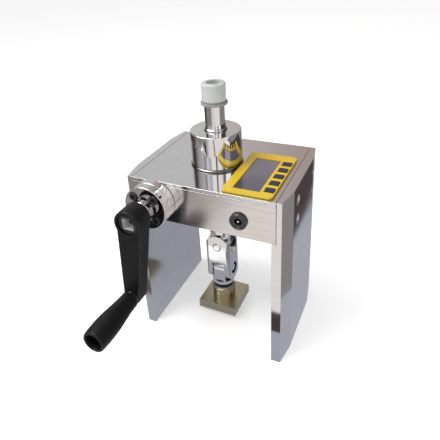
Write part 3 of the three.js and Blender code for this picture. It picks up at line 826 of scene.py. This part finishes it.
class TESTER_OT_cylinder(Operator):
    """Polished hydraulic cylinder on its gasket, with the neck and its wiper ring"""

    bl_idname = "tester.cylinder"
    bl_label = "Cylinder"

    def execute(self, context):
        own, tints = sizes(), finishes()
        centre = centre_of("cylinder_shell")
        axis = at(centre.x, centre.y, 0)
        low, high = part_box("cylinder_shell")
        radius, neck = half_width("cylinder_shell"), half_width("neck_tube")
        bore, hole = radius - 4 * MM, neck + 0.6 * MM
        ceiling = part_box("cylinder_base_plug")[1].z - 2 * MM
        outside = [(bore, low.z), (radius, low.z), (radius, high.z)]
        inside = [(hole, high.z), (hole, ceiling), (bore, ceiling)]
        shell = turned(outside + inside, closed=True, steps=own.steps + 32)
        rounded(shell, 0.9 * MM, 5, top_rim(radius, high.z))
        polish = polished_steel("polished cylinder", tints.steel, tints.polish, centre)
        piece("cylinder_polished", moved(shell, axis), polish, "cylinder_shell", width=0.25 * MM)

        low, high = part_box("cylinder_gasket")
        inner, outer = radius - 8.3 * MM, half_width("cylinder_gasket")
        rise = (high.z - low.z) * 0.45
        slope = [(outer, low.z + rise), (radius + 0.1 * MM, high.z)]
        seat = turned([(inner, low.z), (outer, low.z), *slope, (inner, high.z)], closed=True)
        steel = turned_steel("seat steel", (0.22, 0.21, 0.20), 0.2, centre, "Z")
        piece("cylinder_seat_ring", moved(seat, axis), steel, "cylinder_gasket", width=0.15 * MM)

        low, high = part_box("neck_tube")
        tube = sleeve(neck - 1.5 * MM, neck, low.z, high.z)
        neck_steel = polished_steel("polished neck", tints.steel, tints.polish, centre)
        piece("neck_polished", moved(tube, axis), neck_steel, "neck_tube")

        low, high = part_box("neck_wiper_ring")
        inner, outer = neck + GAP, half_width("neck_wiper_ring")
        slope = [(outer, low.z + 0.9 * MM), (outer - 0.7 * MM, high.z)]
        wiper = turned([(inner, low.z), (outer, low.z), *slope, (inner, high.z)], closed=True)
        satin = turned_steel("wiper steel", (0.7, 0.69, 0.68), 0.16, centre, "Z")
        piece("neck_wiper_turned", moved(wiper, axis), satin, "neck_wiper_ring", width=0.12 * MM)
        return {"FINISHED"}


class TESTER_OT_knob(Operator):
    """Adjusting knob with its nut, and the threaded pull rod"""

    bl_idname = "tester.knob"
    bl_label = "Knob and Rod"

    def execute(self, context):
        own, tints = sizes(), finishes()
        low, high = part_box("adjusting_knob")
        nut_low, nut_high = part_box("knob_nut")
        rod_low, rod_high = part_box("pull_rod")
        middle = centre_of("adjusting_knob")
        axis = at(middle.x, middle.y, 0)
        flange, nut = half_width("adjusting_knob"), half_width("knob_nut")
        rod = half_width("pull_rod")
        body, hole, mouth = flange - 1.35 * MM, rod + 0.7 * MM, 6.2 * MM
        groove = body - own.knob_groove
        outside = [
            (hole, low.z),
            (flange, low.z),
            (flange, low.z + 2.0 * MM),
            (groove, low.z + 2.3 * MM),
            (groove, low.z + 3.0 * MM),
            (body, low.z + 3.4 * MM),
            (body, high.z),
        ]
        inside = [
            (mouth, high.z),
            (mouth, nut_high.z + GAP),
            (nut + GAP, nut_high.z + GAP),
            (nut + GAP, nut_low.z - GAP),
            (hole, nut_low.z - GAP),
        ]
        knob = turned(outside + inside, closed=True)
        rounded(knob, 1.5 * MM, 6, top_rim(body, high.z))
        grey = moulded_plastic(
            "knob plastic", tints.knob, 0.38, 1800, 0.00004, shade(tints.knob, 1.25), 0.1,
            foot=low.z + 2.6 * MM,
        )
        piece("knob_moulded", moved(knob, axis), grey, "adjusting_knob")

        inner = [(rod + 1.0 * MM, nut_high.z), (rod + GAP, nut_high.z - 0.7 * MM)]
        outer = [(rod + GAP, nut_low.z), (nut, nut_low.z), (nut, nut_high.z)]
        ring = turned(outer + inner, closed=True)
        plating = nickel_plate("nut plating", tints.plating, 0.25)
        piece("knob_nut_turned", moved(ring, axis), plating, "knob_nut")

        profile = [(0, rod_low.z), (rod, rod_low.z)]
        height = nut_low.z - 12 * MM
        while height + own.thread_pitch < rod_high.z - 1 * MM:
            profile += [(rod, height), (rod - 0.55 * MM, height + own.thread_pitch * 0.5)]
            height += own.thread_pitch
        profile += [(rod, height), (rod, rod_high.z - 0.8 * MM)]
        profile += [(rod - 0.8 * MM, rod_high.z), (0, rod_high.z)]
        bar = moved(turned(profile, steps=64), axis)
        steel = turned_steel("rod steel", (0.72, 0.71, 0.7), 0.14, centre_of("pull_rod"), "Z")
        piece("pull_rod_threaded", bar, steel, "pull_rod", width=0.08 * MM, segments=2)
        return {"FINISHED"}


POCKET_DEPTH = 2.6 * MM


class TESTER_OT_joint(Operator):
    """Universal joint under the box, with its pins, washer and the test plate"""

    bl_idname = "tester.joint"
    bl_label = "Joint and Test Plate"

    def execute(self, context):
        tints = finishes()
        centre = centre_of("joint_link")
        chrome = polished_steel("joint chrome", tints.steel, tints.polish + 0.02, centre)
        shape = {"flat": 60, "width": 0.6 * MM}
        link = self.recessed(copied("joint_link"))
        piece("upper_eye_chromed", copied("upper_rod_end"), chrome, "upper_rod_end", **shape)
        # the pockets round the lower pin get painted shade
        self.paint_pocket_shade(piece("joint_link_chromed", link, chrome, "joint_link", **shape))
        piece("lower_eye_chromed", copied("lower_rod_end"), chrome, "lower_rod_end", **shape)
        bevel = 0.8 * MM
        for node, turn, along, recess in (
            ("upper_pin", TURN_Y, "Y", 0),
            ("lower_pin", TURN_X, "X", 1.4 * MM),
        ):
            low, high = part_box(node)
            half = max(high - low) / 2 - recess
            radius = half_width(node, 2)
            lower = [(0, -half), (radius - bevel, -half), (radius, -half + bevel)]
            upper = [(radius, half - bevel), (radius - bevel, half), (0, half)]
            middle = centre_of(node)
            pin = moved(turned(lower + upper, steps=48), turn, at(*middle))
            steel = turned_steel(f"{along} pin steel", (0.78, 0.77, 0.76), 0.1, middle, along)
            piece(f"{node}_ground", pin, steel, node)
        low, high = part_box("stud_washer")
        middle = centre_of("stud_washer")
        washer = sleeve(4.3 * MM, half_width("stud_washer"), low.z, high.z)
        moved(washer, at(middle.x, middle.y, 0))
        black = matt_black("washer rubber", (0.015, 0.014, 0.013))
        piece("stud_washer_rubber", washer, black, "stud_washer")
        plating = nickel_plate("test plate plating", tints.plating, 0.28)
        piece("test_plate_plated", copied("test_plate"), plating, "test_plate", width=0.4 * MM)
        return {"FINISHED"}

    def recessed(self, link):
        """The link with a round pocket in each ear round the end of the lower pin."""
        low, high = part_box("joint_link")
        place = at(0, *centre_of("lower_pin").yz)
        tools = []
        for near, far in (
            (low.x - 2 * MM, low.x + POCKET_DEPTH),
            (high.x - POCKET_DEPTH, high.x + 2 * MM),
        ):
            tools.append(moved(disc(self.pocket_radius(), near, far, 48), TURN_X, place))
        return combined(link, tools)

    def pocket_radius(self):
        return half_width("lower_pin", 2) + 2.2 * MM

    def paint_pocket_shade(self, link):
        """Painted shade in the pockets round the lower pin: their floors and walls get a matt
        black finish.
        """
        middle = centre_of("lower_pin")
        radius = self.pocket_radius() + 0.01 * MM
        floor = half_width("joint_link") - POCKET_DEPTH

        def in_pocket_shade(face):
            depth = abs(face.center.x - middle.x) - floor
            inside = (face.center.yz - middle.yz).length < radius
            return inside and -0.02 * MM < depth < POCKET_DEPTH - 0.1 * MM

        # painted shade: the matt black finish goes on the pocket floors and walls
        second_finish(link, matt_black("pocket painted shade", (0.012, 0.010, 0.010)), in_pocket_shade)


class TESTER_OT_gland(Operator):
    """Two polished gland rings with their screws, the drive shaft and its collar"""

    bl_idname = "tester.gland"
    bl_label = "Pump Gland"

    def execute(self, context):
        tints = finishes()
        front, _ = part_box("gland_front_ring")
        middle = centre_of("gland_front_ring")
        radius = half_width("gland_front_ring")
        chrome = polished_steel("gland chrome", tints.steel, tints.polish + 0.02, middle)
        screws = [f"gland_screw_{number}" for number in FOUR]
        places = [centre_of(node) for node in screws]
        head = half_width(screws[0])
        floor = front.y + 3.2 * MM

        def rim(edge):
            first, second = (vert.co for vert in edge.verts)
            far = min((end.xz - middle.xz).length for end in (first, second))
            return far > radius - 0.05 * MM and abs(first.y - second.y) < 0.01 * MM

        for side in ("front", "rear"):
            low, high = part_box(f"gland_{side}_ring")
            # each cut ends a little past the one before, so that no two share a plane
            start, end, step = low.y - PAST, high.y + PAST, 0.05 * MM
            tools = []
            if side == "front":
                tools.append(along_y(disc(11.5 * MM, start, floor, 72), middle))
                for place in places:
                    scallop = disc(head + 0.6 * MM, start - step, floor + step, 48)
                    tools.append(along_y(scallop, place))
            for place in places:
                bore = disc(2.6 * MM, start - 2 * step, end + 2 * step, 32)
                tools.append(along_y(bore, place))
            body = combined(along_y(sleeve(6.8 * MM, radius, low.y, high.y), middle), tools)
            rounded(body, 0.7 * MM, 4, rim)
            piece(f"gland_{side}_polished", body, chrome, f"gland_{side}_ring")
        blacked = bead_blasted("blacked screw", tints.black_steel, 0.34, 0.0)
        for number, (node, place) in enumerate(zip(screws, places), 1):
            low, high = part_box(node)
            screw = cap_screw(head, 4 * MM, 2.2 * MM, high.y - low.y, 1.9 * MM, 2.4 * MM)
            turn = Matrix.Rotation(math.radians(23 * number), 4, "Z")
            moved(screw, turn, FRONTWARDS, at(place.x, low.y, place.z))
            piece(f"gland_cap_screw_{number}", screw, blacked, node)
        steel = turned_steel("shaft steel", (0.30, 0.29, 0.28), 0.16, middle)
        shaft = piece("drive_shaft_turned", copied("drive_screw"), steel, "drive_screw", flat=60)
        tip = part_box("drive_screw")[0].y + 0.1 * MM
        second_finish(shaft, blacked, lambda face: face.center.y < tip)
        low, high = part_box("shaft_collar")
        outer, bore = half_width("shaft_collar"), 6.6 * MM
        nose = [(bore, low.y), (outer - 0.8 * MM, low.y), (outer, low.y + 0.8 * MM)]
        tail = [(outer, high.y - 0.6 * MM), (outer - 0.6 * MM, high.y), (bore, high.y)]
        ring = along_y(turned(nose + tail, closed=True), middle)
        tint = shade(tints.steel, 0.55)
        dark = polished_steel("collar steel", tint, tints.polish + 0.06, middle)
        piece("shaft_collar_polished", ring, dark, "shaft_collar")
        return {"FINISHED"}


class TESTER_OT_crank(Operator):
    """Black crank arm with the square insert of its hub"""

    bl_idname = "tester.crank"
    bl_label = "Crank"

    def execute(self, context):
        own, tints = sizes(), finishes()
        low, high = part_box("crank_arm")
        hub, tip = centre_of("square_insert"), centre_of("grip_washer")
        hub_radius, tip_radius = 12.4 * MM, 8 * MM
        arm_front = low.y + 2.3 * MM
        arm_back = arm_front + 14 * MM
        arm = bmesh.new()
        for radius, segments, spot in ((hub_radius, 72, hub), (tip_radius, 56, tip)):
            end = along_y(disc(radius, arm_front, arm_back, segments), spot)
            for vert in end.verts:
                arm.verts.new(vert.co)
            end.free()
        hull = bmesh.ops.convex_hull(arm, input=arm.verts)
        spare = [item for item in hull["geom_interior"] if isinstance(item, bmesh.types.BMVert)]
        bmesh.ops.delete(arm, geom=spare, context="VERTS")
        bmesh.ops.dissolve_limit(
            arm, angle_limit=math.radians(1), verts=arm.verts, edges=arm.edges
        )
        rounded(cleaned(arm), own.arm_round, 5)
        boss = along_y(drum(hub_radius, low.y, high.y), hub)
        rounded(boss, 1.3 * MM, 5)
        start, end = low.y - PAST, high.y + PAST
        tools = [
            along_y(disc(radius, start, stop, segments), spot)
            for radius, stop, segments, spot in (
                (9.3 * MM, high.y - 1.6 * MM, 72, hub),
                (6.9 * MM, end, 56, hub),
                (4.3 * MM, end, 48, tip),
            )
        ]
        arm = combined(combined(arm, [boss], "UNION"), tools)
        black = moulded_plastic(
            "crank plastic", tints.crank, 0.46, 2300, 0.00007, RUBBED_BLACK, sheen=0.33
        )
        piece("crank_arm_moulded", arm, black, "crank_arm", flat=60, width=0.25 * MM, segments=2)

        low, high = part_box("square_insert")
        insert = along_y(drum(half_width("square_insert"), low.y, high.y, 72), hub)
        half = 5 * MM
        foot = (hub.x - half, low.y - PAST, hub.z - half)
        square = block(foot, (hub.x + half, high.y + PAST, hub.z + half))
        wall = bead_blasted("insert wall", (0.85, 0.85, 0.84), 0.4, 0.5)
        insert = combined(insert, [square])
        shown = piece("square_insert_machined", insert, wall, "square_insert")
        black = bead_blasted("insert face", tints.black_steel, 0.4, 0.0)
        second_finish(shown, black, lambda face: abs(face.normal.y) > 0.5)
        return {"FINISHED"}


class TESTER_OT_grip(Operator):
    """Turning grip with its washer and spindle"""

    bl_idname = "tester.grip"
    bl_label = "Grip"

    # radius and distance from the crank, in mm: the outside forwards, then the inside back
    PROFILE = (
        (8.0, 0.0), (8.05, -3.0), (8.2, -7.0), (8.55, -12.0), (9.05, -17.0),
        (9.6, -22.0), (10.1, -27.5), (10.45, -33.0), (10.6, -38.0), (10.55, -42.0),
        (10.4, -46.0), (10.15, -49.5), (9.9, -51.2), (9.3, -52.2),
        (7.9, -52.2), (7.5, -51.2), (7.35, -49.0), (7.2, -37.2), (4.3, -37.2), (4.3, 0.0),
    )
    WIDEST = 10.6

    def execute(self, context):
        tints = finishes()
        low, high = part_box("crank_grip")
        middle = centre_of("crank_grip")
        scale = half_width("crank_grip") / self.WIDEST
        profile = [(radius * scale, high.y + depth * MM) for radius, depth in self.PROFILE]
        grip = along_y(turned(profile, closed=True, steps=72), middle)
        black = moulded_plastic(
            "grip plastic", shade(tints.crank, 1.1), 0.48, 1700, 0.00012, RUBBED_BLACK, sheen=0.3
        )
        piece("grip_moulded", grip, black, "crank_grip", flat=0, width=GAP)

        low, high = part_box("grip_washer")
        washer = along_y(sleeve(4.3 * MM, half_width("grip_washer"), low.y, high.y), middle)
        steel = turned_steel("washer steel", (0.16, 0.155, 0.15), 0.22, middle)
        piece("grip_washer_turned", washer, steel, "grip_washer")

        low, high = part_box("grip_spindle")
        head = half_width("grip_spindle")
        spindle = cap_screw(head, 2.7 * MM, 4 * MM, high.y - low.y, 2.6 * MM, 1.6 * MM)
        moved(spindle, FRONTWARDS, at(middle.x, low.y, middle.z))
        piece("grip_spindle_turned", spindle, steel, "grip_spindle")
        return {"FINISHED"}


class TESTER_OT_display(Operator):
    """Yellow display surround with its screen and five keys"""

    bl_idname = "tester.display"
    bl_label = "Display"

    def execute(self, context):
        tints = finishes()
        low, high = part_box("display_bezel")
        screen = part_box("lcd_module")
        keys = [f"key_{number}" for number in (*FOUR, 5)]
        gap, lip = Vector((GAP, GAP, 0)), Vector((0.8 * MM, 0.8 * MM, 0))
        bezel = block(low, high)
        rounded(bezel, 4 * MM, 10, upright)
        holes = [(screen[0] - gap, screen[1] + gap)]
        for key_low, key_high in map(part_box, keys):
            holes.append((key_low + lip - gap, key_high - lip + gap))
        tools = [
            block((*near.xy, low.z - PAST), (*far.xy, high.z + PAST)) for near, far in holes
        ]
        yellow = film("bezel film", tints.bezel, (0.66, 0.42, 0.01))
        bezel = combined(bezel, tools)
        piece("display_bezel_moulded", bezel, yellow, "display_bezel", flat=100, width=GAP)

        # the third colour is a painted sheen on the glass
        glass = screen_glass("screen glass", tints.screen, (0.16, 0.145, 0.18))
        piece("screen_glass_pane", block(*screen), glass, "lcd_module", flat=100)

        rubbed = shade(tints.keys, 2.2)
        slate = moulded_plastic("key membrane", tints.keys, 0.34, 2600, 0.00003, rubbed, 0.1)
        top = low.z - GAP
        foot = top - 1.2 * MM
        for number, node in enumerate(keys, 1):
            key_low, key_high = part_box(node)
            flange = block((*key_low.xy, foot), (*key_high.xy, top))
            cap = block((*(key_low + lip).xy, foot), key_high - lip)
            rounded(cap, 0.9 * MM, 5, upright)
            middle = centre_of(node)
            stem = disc(1.8 * MM, key_low.z, top - 0.6 * MM, 24)
            moved(stem, at(middle.x, middle.y, 0))
            cap = combined(cap, [flange, stem], "UNION")
            piece(f"key_cap_{number}", cap, slate, node, width=0.25 * MM)
        return {"FINISHED"}


class TESTER_OT_jack(Operator):
    """Charging jack in the front cover"""

    bl_idname = "tester.jack"
    bl_label = "Charging Jack"

    def execute(self, context):
        low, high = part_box("charging_jack")
        middle, radius = centre_of("charging_jack"), half_width("charging_jack")
        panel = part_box("front_cover")[0].y - GAP
        outside = [
            (0, high.y),
            (5.5 * MM, high.y),
            (5.5 * MM, panel),
            (radius, panel),
            (radius, low.y + 0.9 * MM),
            (radius - 0.9 * MM, low.y),
        ]
        # radius, and depth behind the front, in mm
        inside = ((5.4, 0), (5.1, 0.7), (3.7, 0.7), (3.2, 1.1), (3.2, 9))
        inside += ((1.5, 9), (1.5, 12.4), (0, 12.4))
        inside = [(across * MM, low.y + depth * MM) for across, depth in inside]
        socket = along_y(turned(outside + inside, steps=64), middle)
        black = moulded_plastic(
            "jack plastic", (0.018, 0.018, 0.02), 0.3, 1800, 0.00003, (0.07, 0.07, 0.07), 0.2
        )
        piece("jack_moulded", socket, black, "charging_jack", width=0.15 * MM)
        low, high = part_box("jack_pin")
        radius = half_width("jack_pin")
        tip = [(0, low.y), (radius * 0.6, low.y), (radius, low.y + 0.5 * MM)]
        pin = along_y(turned([*tip, (radius, high.y), (0, high.y)], steps=32), middle)
        steel = nickel_plate("pin plating", (0.62, 0.6, 0.55), 0.18)
        piece("jack_pin_plated", pin, steel, "jack_pin", width=0.1 * MM)
        return {"FINISHED"}


class TESTER_OT_inner(Operator):
    """Finishes of the CAD parts inside the box, which keep their own meshes"""

    bl_idname = "tester.inner"
    bl_label = "Inner Parts"

    def execute(self, context):
        tint = (0.6, 0.59, 0.58)
        barrel = centre_of("pump_barrel")
        guide = turned_steel("guide steel", tint, 0.24, centre_of("ring_piston"), "Z")
        for nodes, finish in (
            (["pump_barrel", "pump_plunger"], turned_steel("pump steel", tint, 0.22, barrel)),
            (["cylinder_base_plug", "ring_piston"], guide),
            (["body_block"], bead_blasted("block aluminium", (0.62, 0.62, 0.63), 0.4)),
            (["thrust_bush"], bead_blasted("bush bronze", (0.5, 0.3, 0.13), 0.32)),
            (["pressure_sensor"], turned_steel("sensor steel", tint, 0.28, (0, 0, 0), "X")),
            (["circuit_board"], circuit("board lacquer")),
            (["battery_pack"], wrap("battery wrap", (0.01, 0.05, 0.22))),
        ):
            dress(nodes, finish)
        return {"FINISHED"}


MIDDLE = Vector((0, 0, 0.12))  # what the lights aim at

# walls of the room that the steel reflects: degrees round from the front, and colour
ROOM = (
    (-180, (0.24, 0.19, 0.17)),
    (-166, (0.34, 0.28, 0.27)),
    (-150, (0.46, 0.46, 0.46)),
    (-125, (0.40, 0.40, 0.40)),
    (-105, (0.05, 0.04, 0.04)),
    (-88, (0.05, 0.04, 0.04)),
    (-66, (0.36, 0.35, 0.37)),
    (-40, (0.52, 0.53, 0.56)),
    (-30, (0.24, 0.23, 0.25)),
    (-20, (0.78, 0.80, 0.84)),
    (-7, (0.46, 0.46, 0.49)),
    (4, (0.98, 1.0, 1.0)),
    (17, (1.0, 1.0, 1.0)),
    (20, (0.12, 0.10, 0.12)),
    (24, (0.12, 0.10, 0.12)),
    (27, (1.0, 1.0, 1.0)),
    (42, (0.95, 0.93, 0.91)),
    (54, (0.15, 0.12, 0.12)),
    (100, (0.05, 0.045, 0.05)),
    (150, (0.06, 0.053, 0.057)),
    (180, (0.24, 0.19, 0.17)),
)


class TESTER_OT_stage(Operator):
    """Pale floor, soft lights, reflection cards and the camera"""

    bl_idname = "tester.stage"
    bl_label = "Stage"

    def execute(self, context):
        look = context.scene.tester_stage
        floor = bmesh.new()
        bmesh.ops.create_grid(floor, x_segments=1, y_segments=1, size=30)
        ground = object_of("floor", floor)
        ground.data.materials.append(self.floor_finish(look.floor))
        stops = ((0.0, 0.26), (0.44, 0.33), (0.63, 0.54), (0.74, 0.84), (0.84, 0.88), (1.0, 0.88))
        stops = [(place, shade(look.paper, factor)) for place, factor in stops]
        paper = self.glow("paper_reflection", 1.16)
        along = paper.split(paper.place(1, (-0.36, 0, 0)), 0) * (1 / 0.4)
        ramp = paper.node("ShaderNodeValToRGB", {"stops": stops}, {0: along})
        self.card(paper, ramp, (-0.9, -1.2), (0.9, -0.064), 0.0001)
        dim = shade(look.paper, 0.3)
        for name, near, far, height, tint in (
            ("cabinet", (0.118, 0.175), (0.166, 1.0), 0.0003, shade(look.bench, 0.6)),
            ("stand", (0.095, -0.9), (0.125, -0.2), 0.0002, look.bench),
            ("shelf", (-0.9, -0.064), (-0.3, 0.9), 0.0003, shade(look.bench, 0.8)),
            ("edge_left", (-0.3, -0.064), (-0.075, -0.039), 0.0002, look.bench),
            ("edge_right", (0.01, -0.064), (0.9, -0.039), 0.0003, shade(look.bench, 0.6)),
            ("bench", (0.118, -0.039), (0.9, 1.0), 0.0002, dim),
        ):
            self.card(self.glow(f"{name}_reflection"), tuple(tint), near, far, height)
        # painted shadow of the tester on the board card: at 0.8 of the board colour round a spot
        # behind the box, fading out further away
        board = self.glow("board_reflection")
        from_shadow_spot = board.node(
            "ShaderNodeVectorMath",
            {"operation": "LENGTH"},
            {0: board.place((1, 0.7, 1), (-0.01, 0.14, 0))},
            output="Value",
        )
        tint = board.mix(from_shadow_spot.between(0.03, 0.15), shade(look.board, 0.8), look.board)
        self.card(board, tint, (-0.3, -0.039), (0.118, 0.6), 0.0003)
        self.world(look.sky, look.room)
        for name, place, size, power, tint in (
            ("key_light", (-0.55, -0.35, 1.1), (0.9, 0.7), look.key_light, (1, 0.99, 0.97)),
            ("side_light", (1.1, -0.3, 0.7), (0.5, 0.8), look.side_light, (1, 0.98, 0.96)),
        ):
            self.area(name, place, size, power, tint)
        self.camera(context, look)
        return {"FINISHED"}

    def floor_finish(self, tint):
        paper = Finish("floor paper", emission_color=(1, 1, 1), emission_strength=0.37)
        cloud = paper.grain(3, detail=2)
        return paper.done(paper.mix(cloud * 0.25, tint, shade(tint, 0.97)), 0.8)

    def glow(self, name, strength=1.0):
        matt = {"base_color": (0, 0, 0), "roughness": 1.0, "specular_level": 0.0}
        return Finish(name, emission_strength=strength, **matt)

    def card(self, glow, tint, near, far, height):
        """A sheet lying on the floor that only reflections see."""
        glow.set("Emission Color", tint)
        made = bmesh.new()
        middle = ((near[0] + far[0]) / 2, (near[1] + far[1]) / 2, height)
        spread = Matrix.Diagonal((far[0] - near[0], far[1] - near[1], 1, 1))
        bmesh.ops.create_grid(made, x_segments=1, y_segments=1, size=0.5)
        sheet = object_of(glow.material.name, moved(made, spread, at(*middle)))
        sheet.data.materials.append(glow.material)
        sheet.visible_camera = False
        sheet.visible_diffuse = False
        sheet.visible_shadow = False

    def world(self, strength, room):
        """Even light from all round; the steel reflects a room of pale and dark walls."""
        world = bpy.context.scene.world or bpy.data.worlds.new("studio")
        bpy.context.scene.world = world
        world.use_nodes = True
        sky = Nodes(world.node_tree)
        direction = sky.node("ShaderNodeTexCoord", output="Generated")
        across, depth, height = (sky.split(direction, axis) for axis in (0, 1, 2))
        turn = across.maths("ARCTAN2", across, depth * -1.0)
        limits = {"Value": turn, "From Min": -math.pi, "From Max": math.pi}
        share = sky.node("ShaderNodeMapRange", {}, limits)
        stops = [((degrees + 180) / 360, tint) for degrees, tint in ROOM]
        walls = sky.node("ShaderNodeValToRGB", {"stops": stops}, {0: share})
        seen = sky.mix(height.between(0.55, 0.9), walls, (0.41, 0.41, 0.40))
        room_light, even_light, backdrop = (
            sky.node("ShaderNodeBackground", {}, {"Color": tint, "Strength": power})
            for tint, power in ((seen, room), ((1, 1, 1), strength), ((1, 1, 1), 1.0))
        )
        lit = self.chosen(sky, "Is Glossy Ray", even_light, room_light)
        final = self.chosen(sky, "Is Camera Ray", lit, backdrop)
        output = sky.tree.nodes.new("ShaderNodeOutputWorld")
        sky.feed(output.inputs["Surface"], final)

    def chosen(self, sky, ray, other, matching):
        """The matching light for rays of one kind, and the other for the rest."""
        kind = sky.node("ShaderNodeLightPath", output=ray)
        return sky.node("ShaderNodeMixShader", {}, {0: kind, 1: other, 2: matching})

    def area(self, name, place, size, power, tint):
        lamp = bpy.data.lights.new(name, "AREA")
        lamp.shape = "RECTANGLE"
        lamp.size, lamp.size_y = size
        lamp.energy = power
        lamp.color = tint
        light = bpy.data.objects.new(name, lamp)
        light.location = place
        aim = MIDDLE - Vector(place)
        light.rotation_euler = aim.to_track_quat("-Z", "Y").to_euler()
        bpy.context.scene.collection.objects.link(light)

    def camera(self, context, look):
        data = bpy.data.cameras.new("camera")
        data.lens = look.lens
        data.sensor_width = 36
        data.shift_x = 0.0242
        data.shift_y = -0.1364
        data.clip_start = 0.01
        data.clip_end = 100
        camera = bpy.data.objects.new("camera", data)
        context.scene.collection.objects.link(camera)
        turn, tilt = look.azimuth, look.elevation
        flat = math.cos(tilt)
        back = Vector((math.sin(turn) * flat, -math.cos(turn) * flat, math.sin(tilt)))
        right = Vector((math.cos(turn), math.sin(turn), 0))
        up = back.cross(right)
        across = right * math.cos(look.roll) + up * math.sin(look.roll)
        above = up * math.cos(look.roll) - right * math.sin(look.roll)
        rotation = Matrix((across, above, back)).transposed().to_4x4()
        camera.matrix_world = Matrix.Translation(look.camera_place) @ rotation
        context.scene.camera = camera
        context.scene.view_settings.view_transform = "Standard"


PIECES = (
    TESTER_OT_side_plates,
    TESTER_OT_covers,
    TESTER_OT_cylinder,
    TESTER_OT_knob,
    TESTER_OT_joint,
    TESTER_OT_gland,
    TESTER_OT_crank,
    TESTER_OT_grip,
    TESTER_OT_display,
    TESTER_OT_jack,
    TESTER_OT_inner,
    TESTER_OT_stage,
)


class TESTER_PT_panel(Panel):
    """Pieces of the tester, their sizes and their finishes"""

    bl_idname = "TESTER_PT_panel"
    bl_label = "Pull-Off Adhesion Tester"
    bl_space_type = "VIEW_3D"
    bl_region_type = "UI"
    bl_category = "Tester"

    def draw(self, context):
        for operator in PIECES:
            self.layout.operator(operator.bl_idname)
        for group in ("tester_sizes", "tester_finishes", "tester_stage"):
            settings = getattr(context.scene, group)
            box = self.layout.box()
            for name in settings.__annotations__:
                box.prop(settings, name)


GROUPS = {
    "tester_sizes": TesterSizes,
    "tester_finishes": TesterFinishes,
    "tester_stage": TesterStage,
}


def register():
    for kind in (*GROUPS.values(), *PIECES, TESTER_PT_panel):
        bpy.utils.register_class(kind)
    for name, kind in GROUPS.items():
        setattr(bpy.types.Scene, name, PointerProperty(type=kind))


def unregister():
    for name in GROUPS:
        delattr(bpy.types.Scene, name)
    for kind in (TESTER_PT_panel, *reversed(PIECES), *GROUPS.values()):
        bpy.utils.unregister_class(kind)


def main():
    register()
    for operator in PIECES:
        group, action = operator.bl_idname.split(".")
        getattr(getattr(bpy.ops, group), action)()


if __name__ == "__main__":
    main()
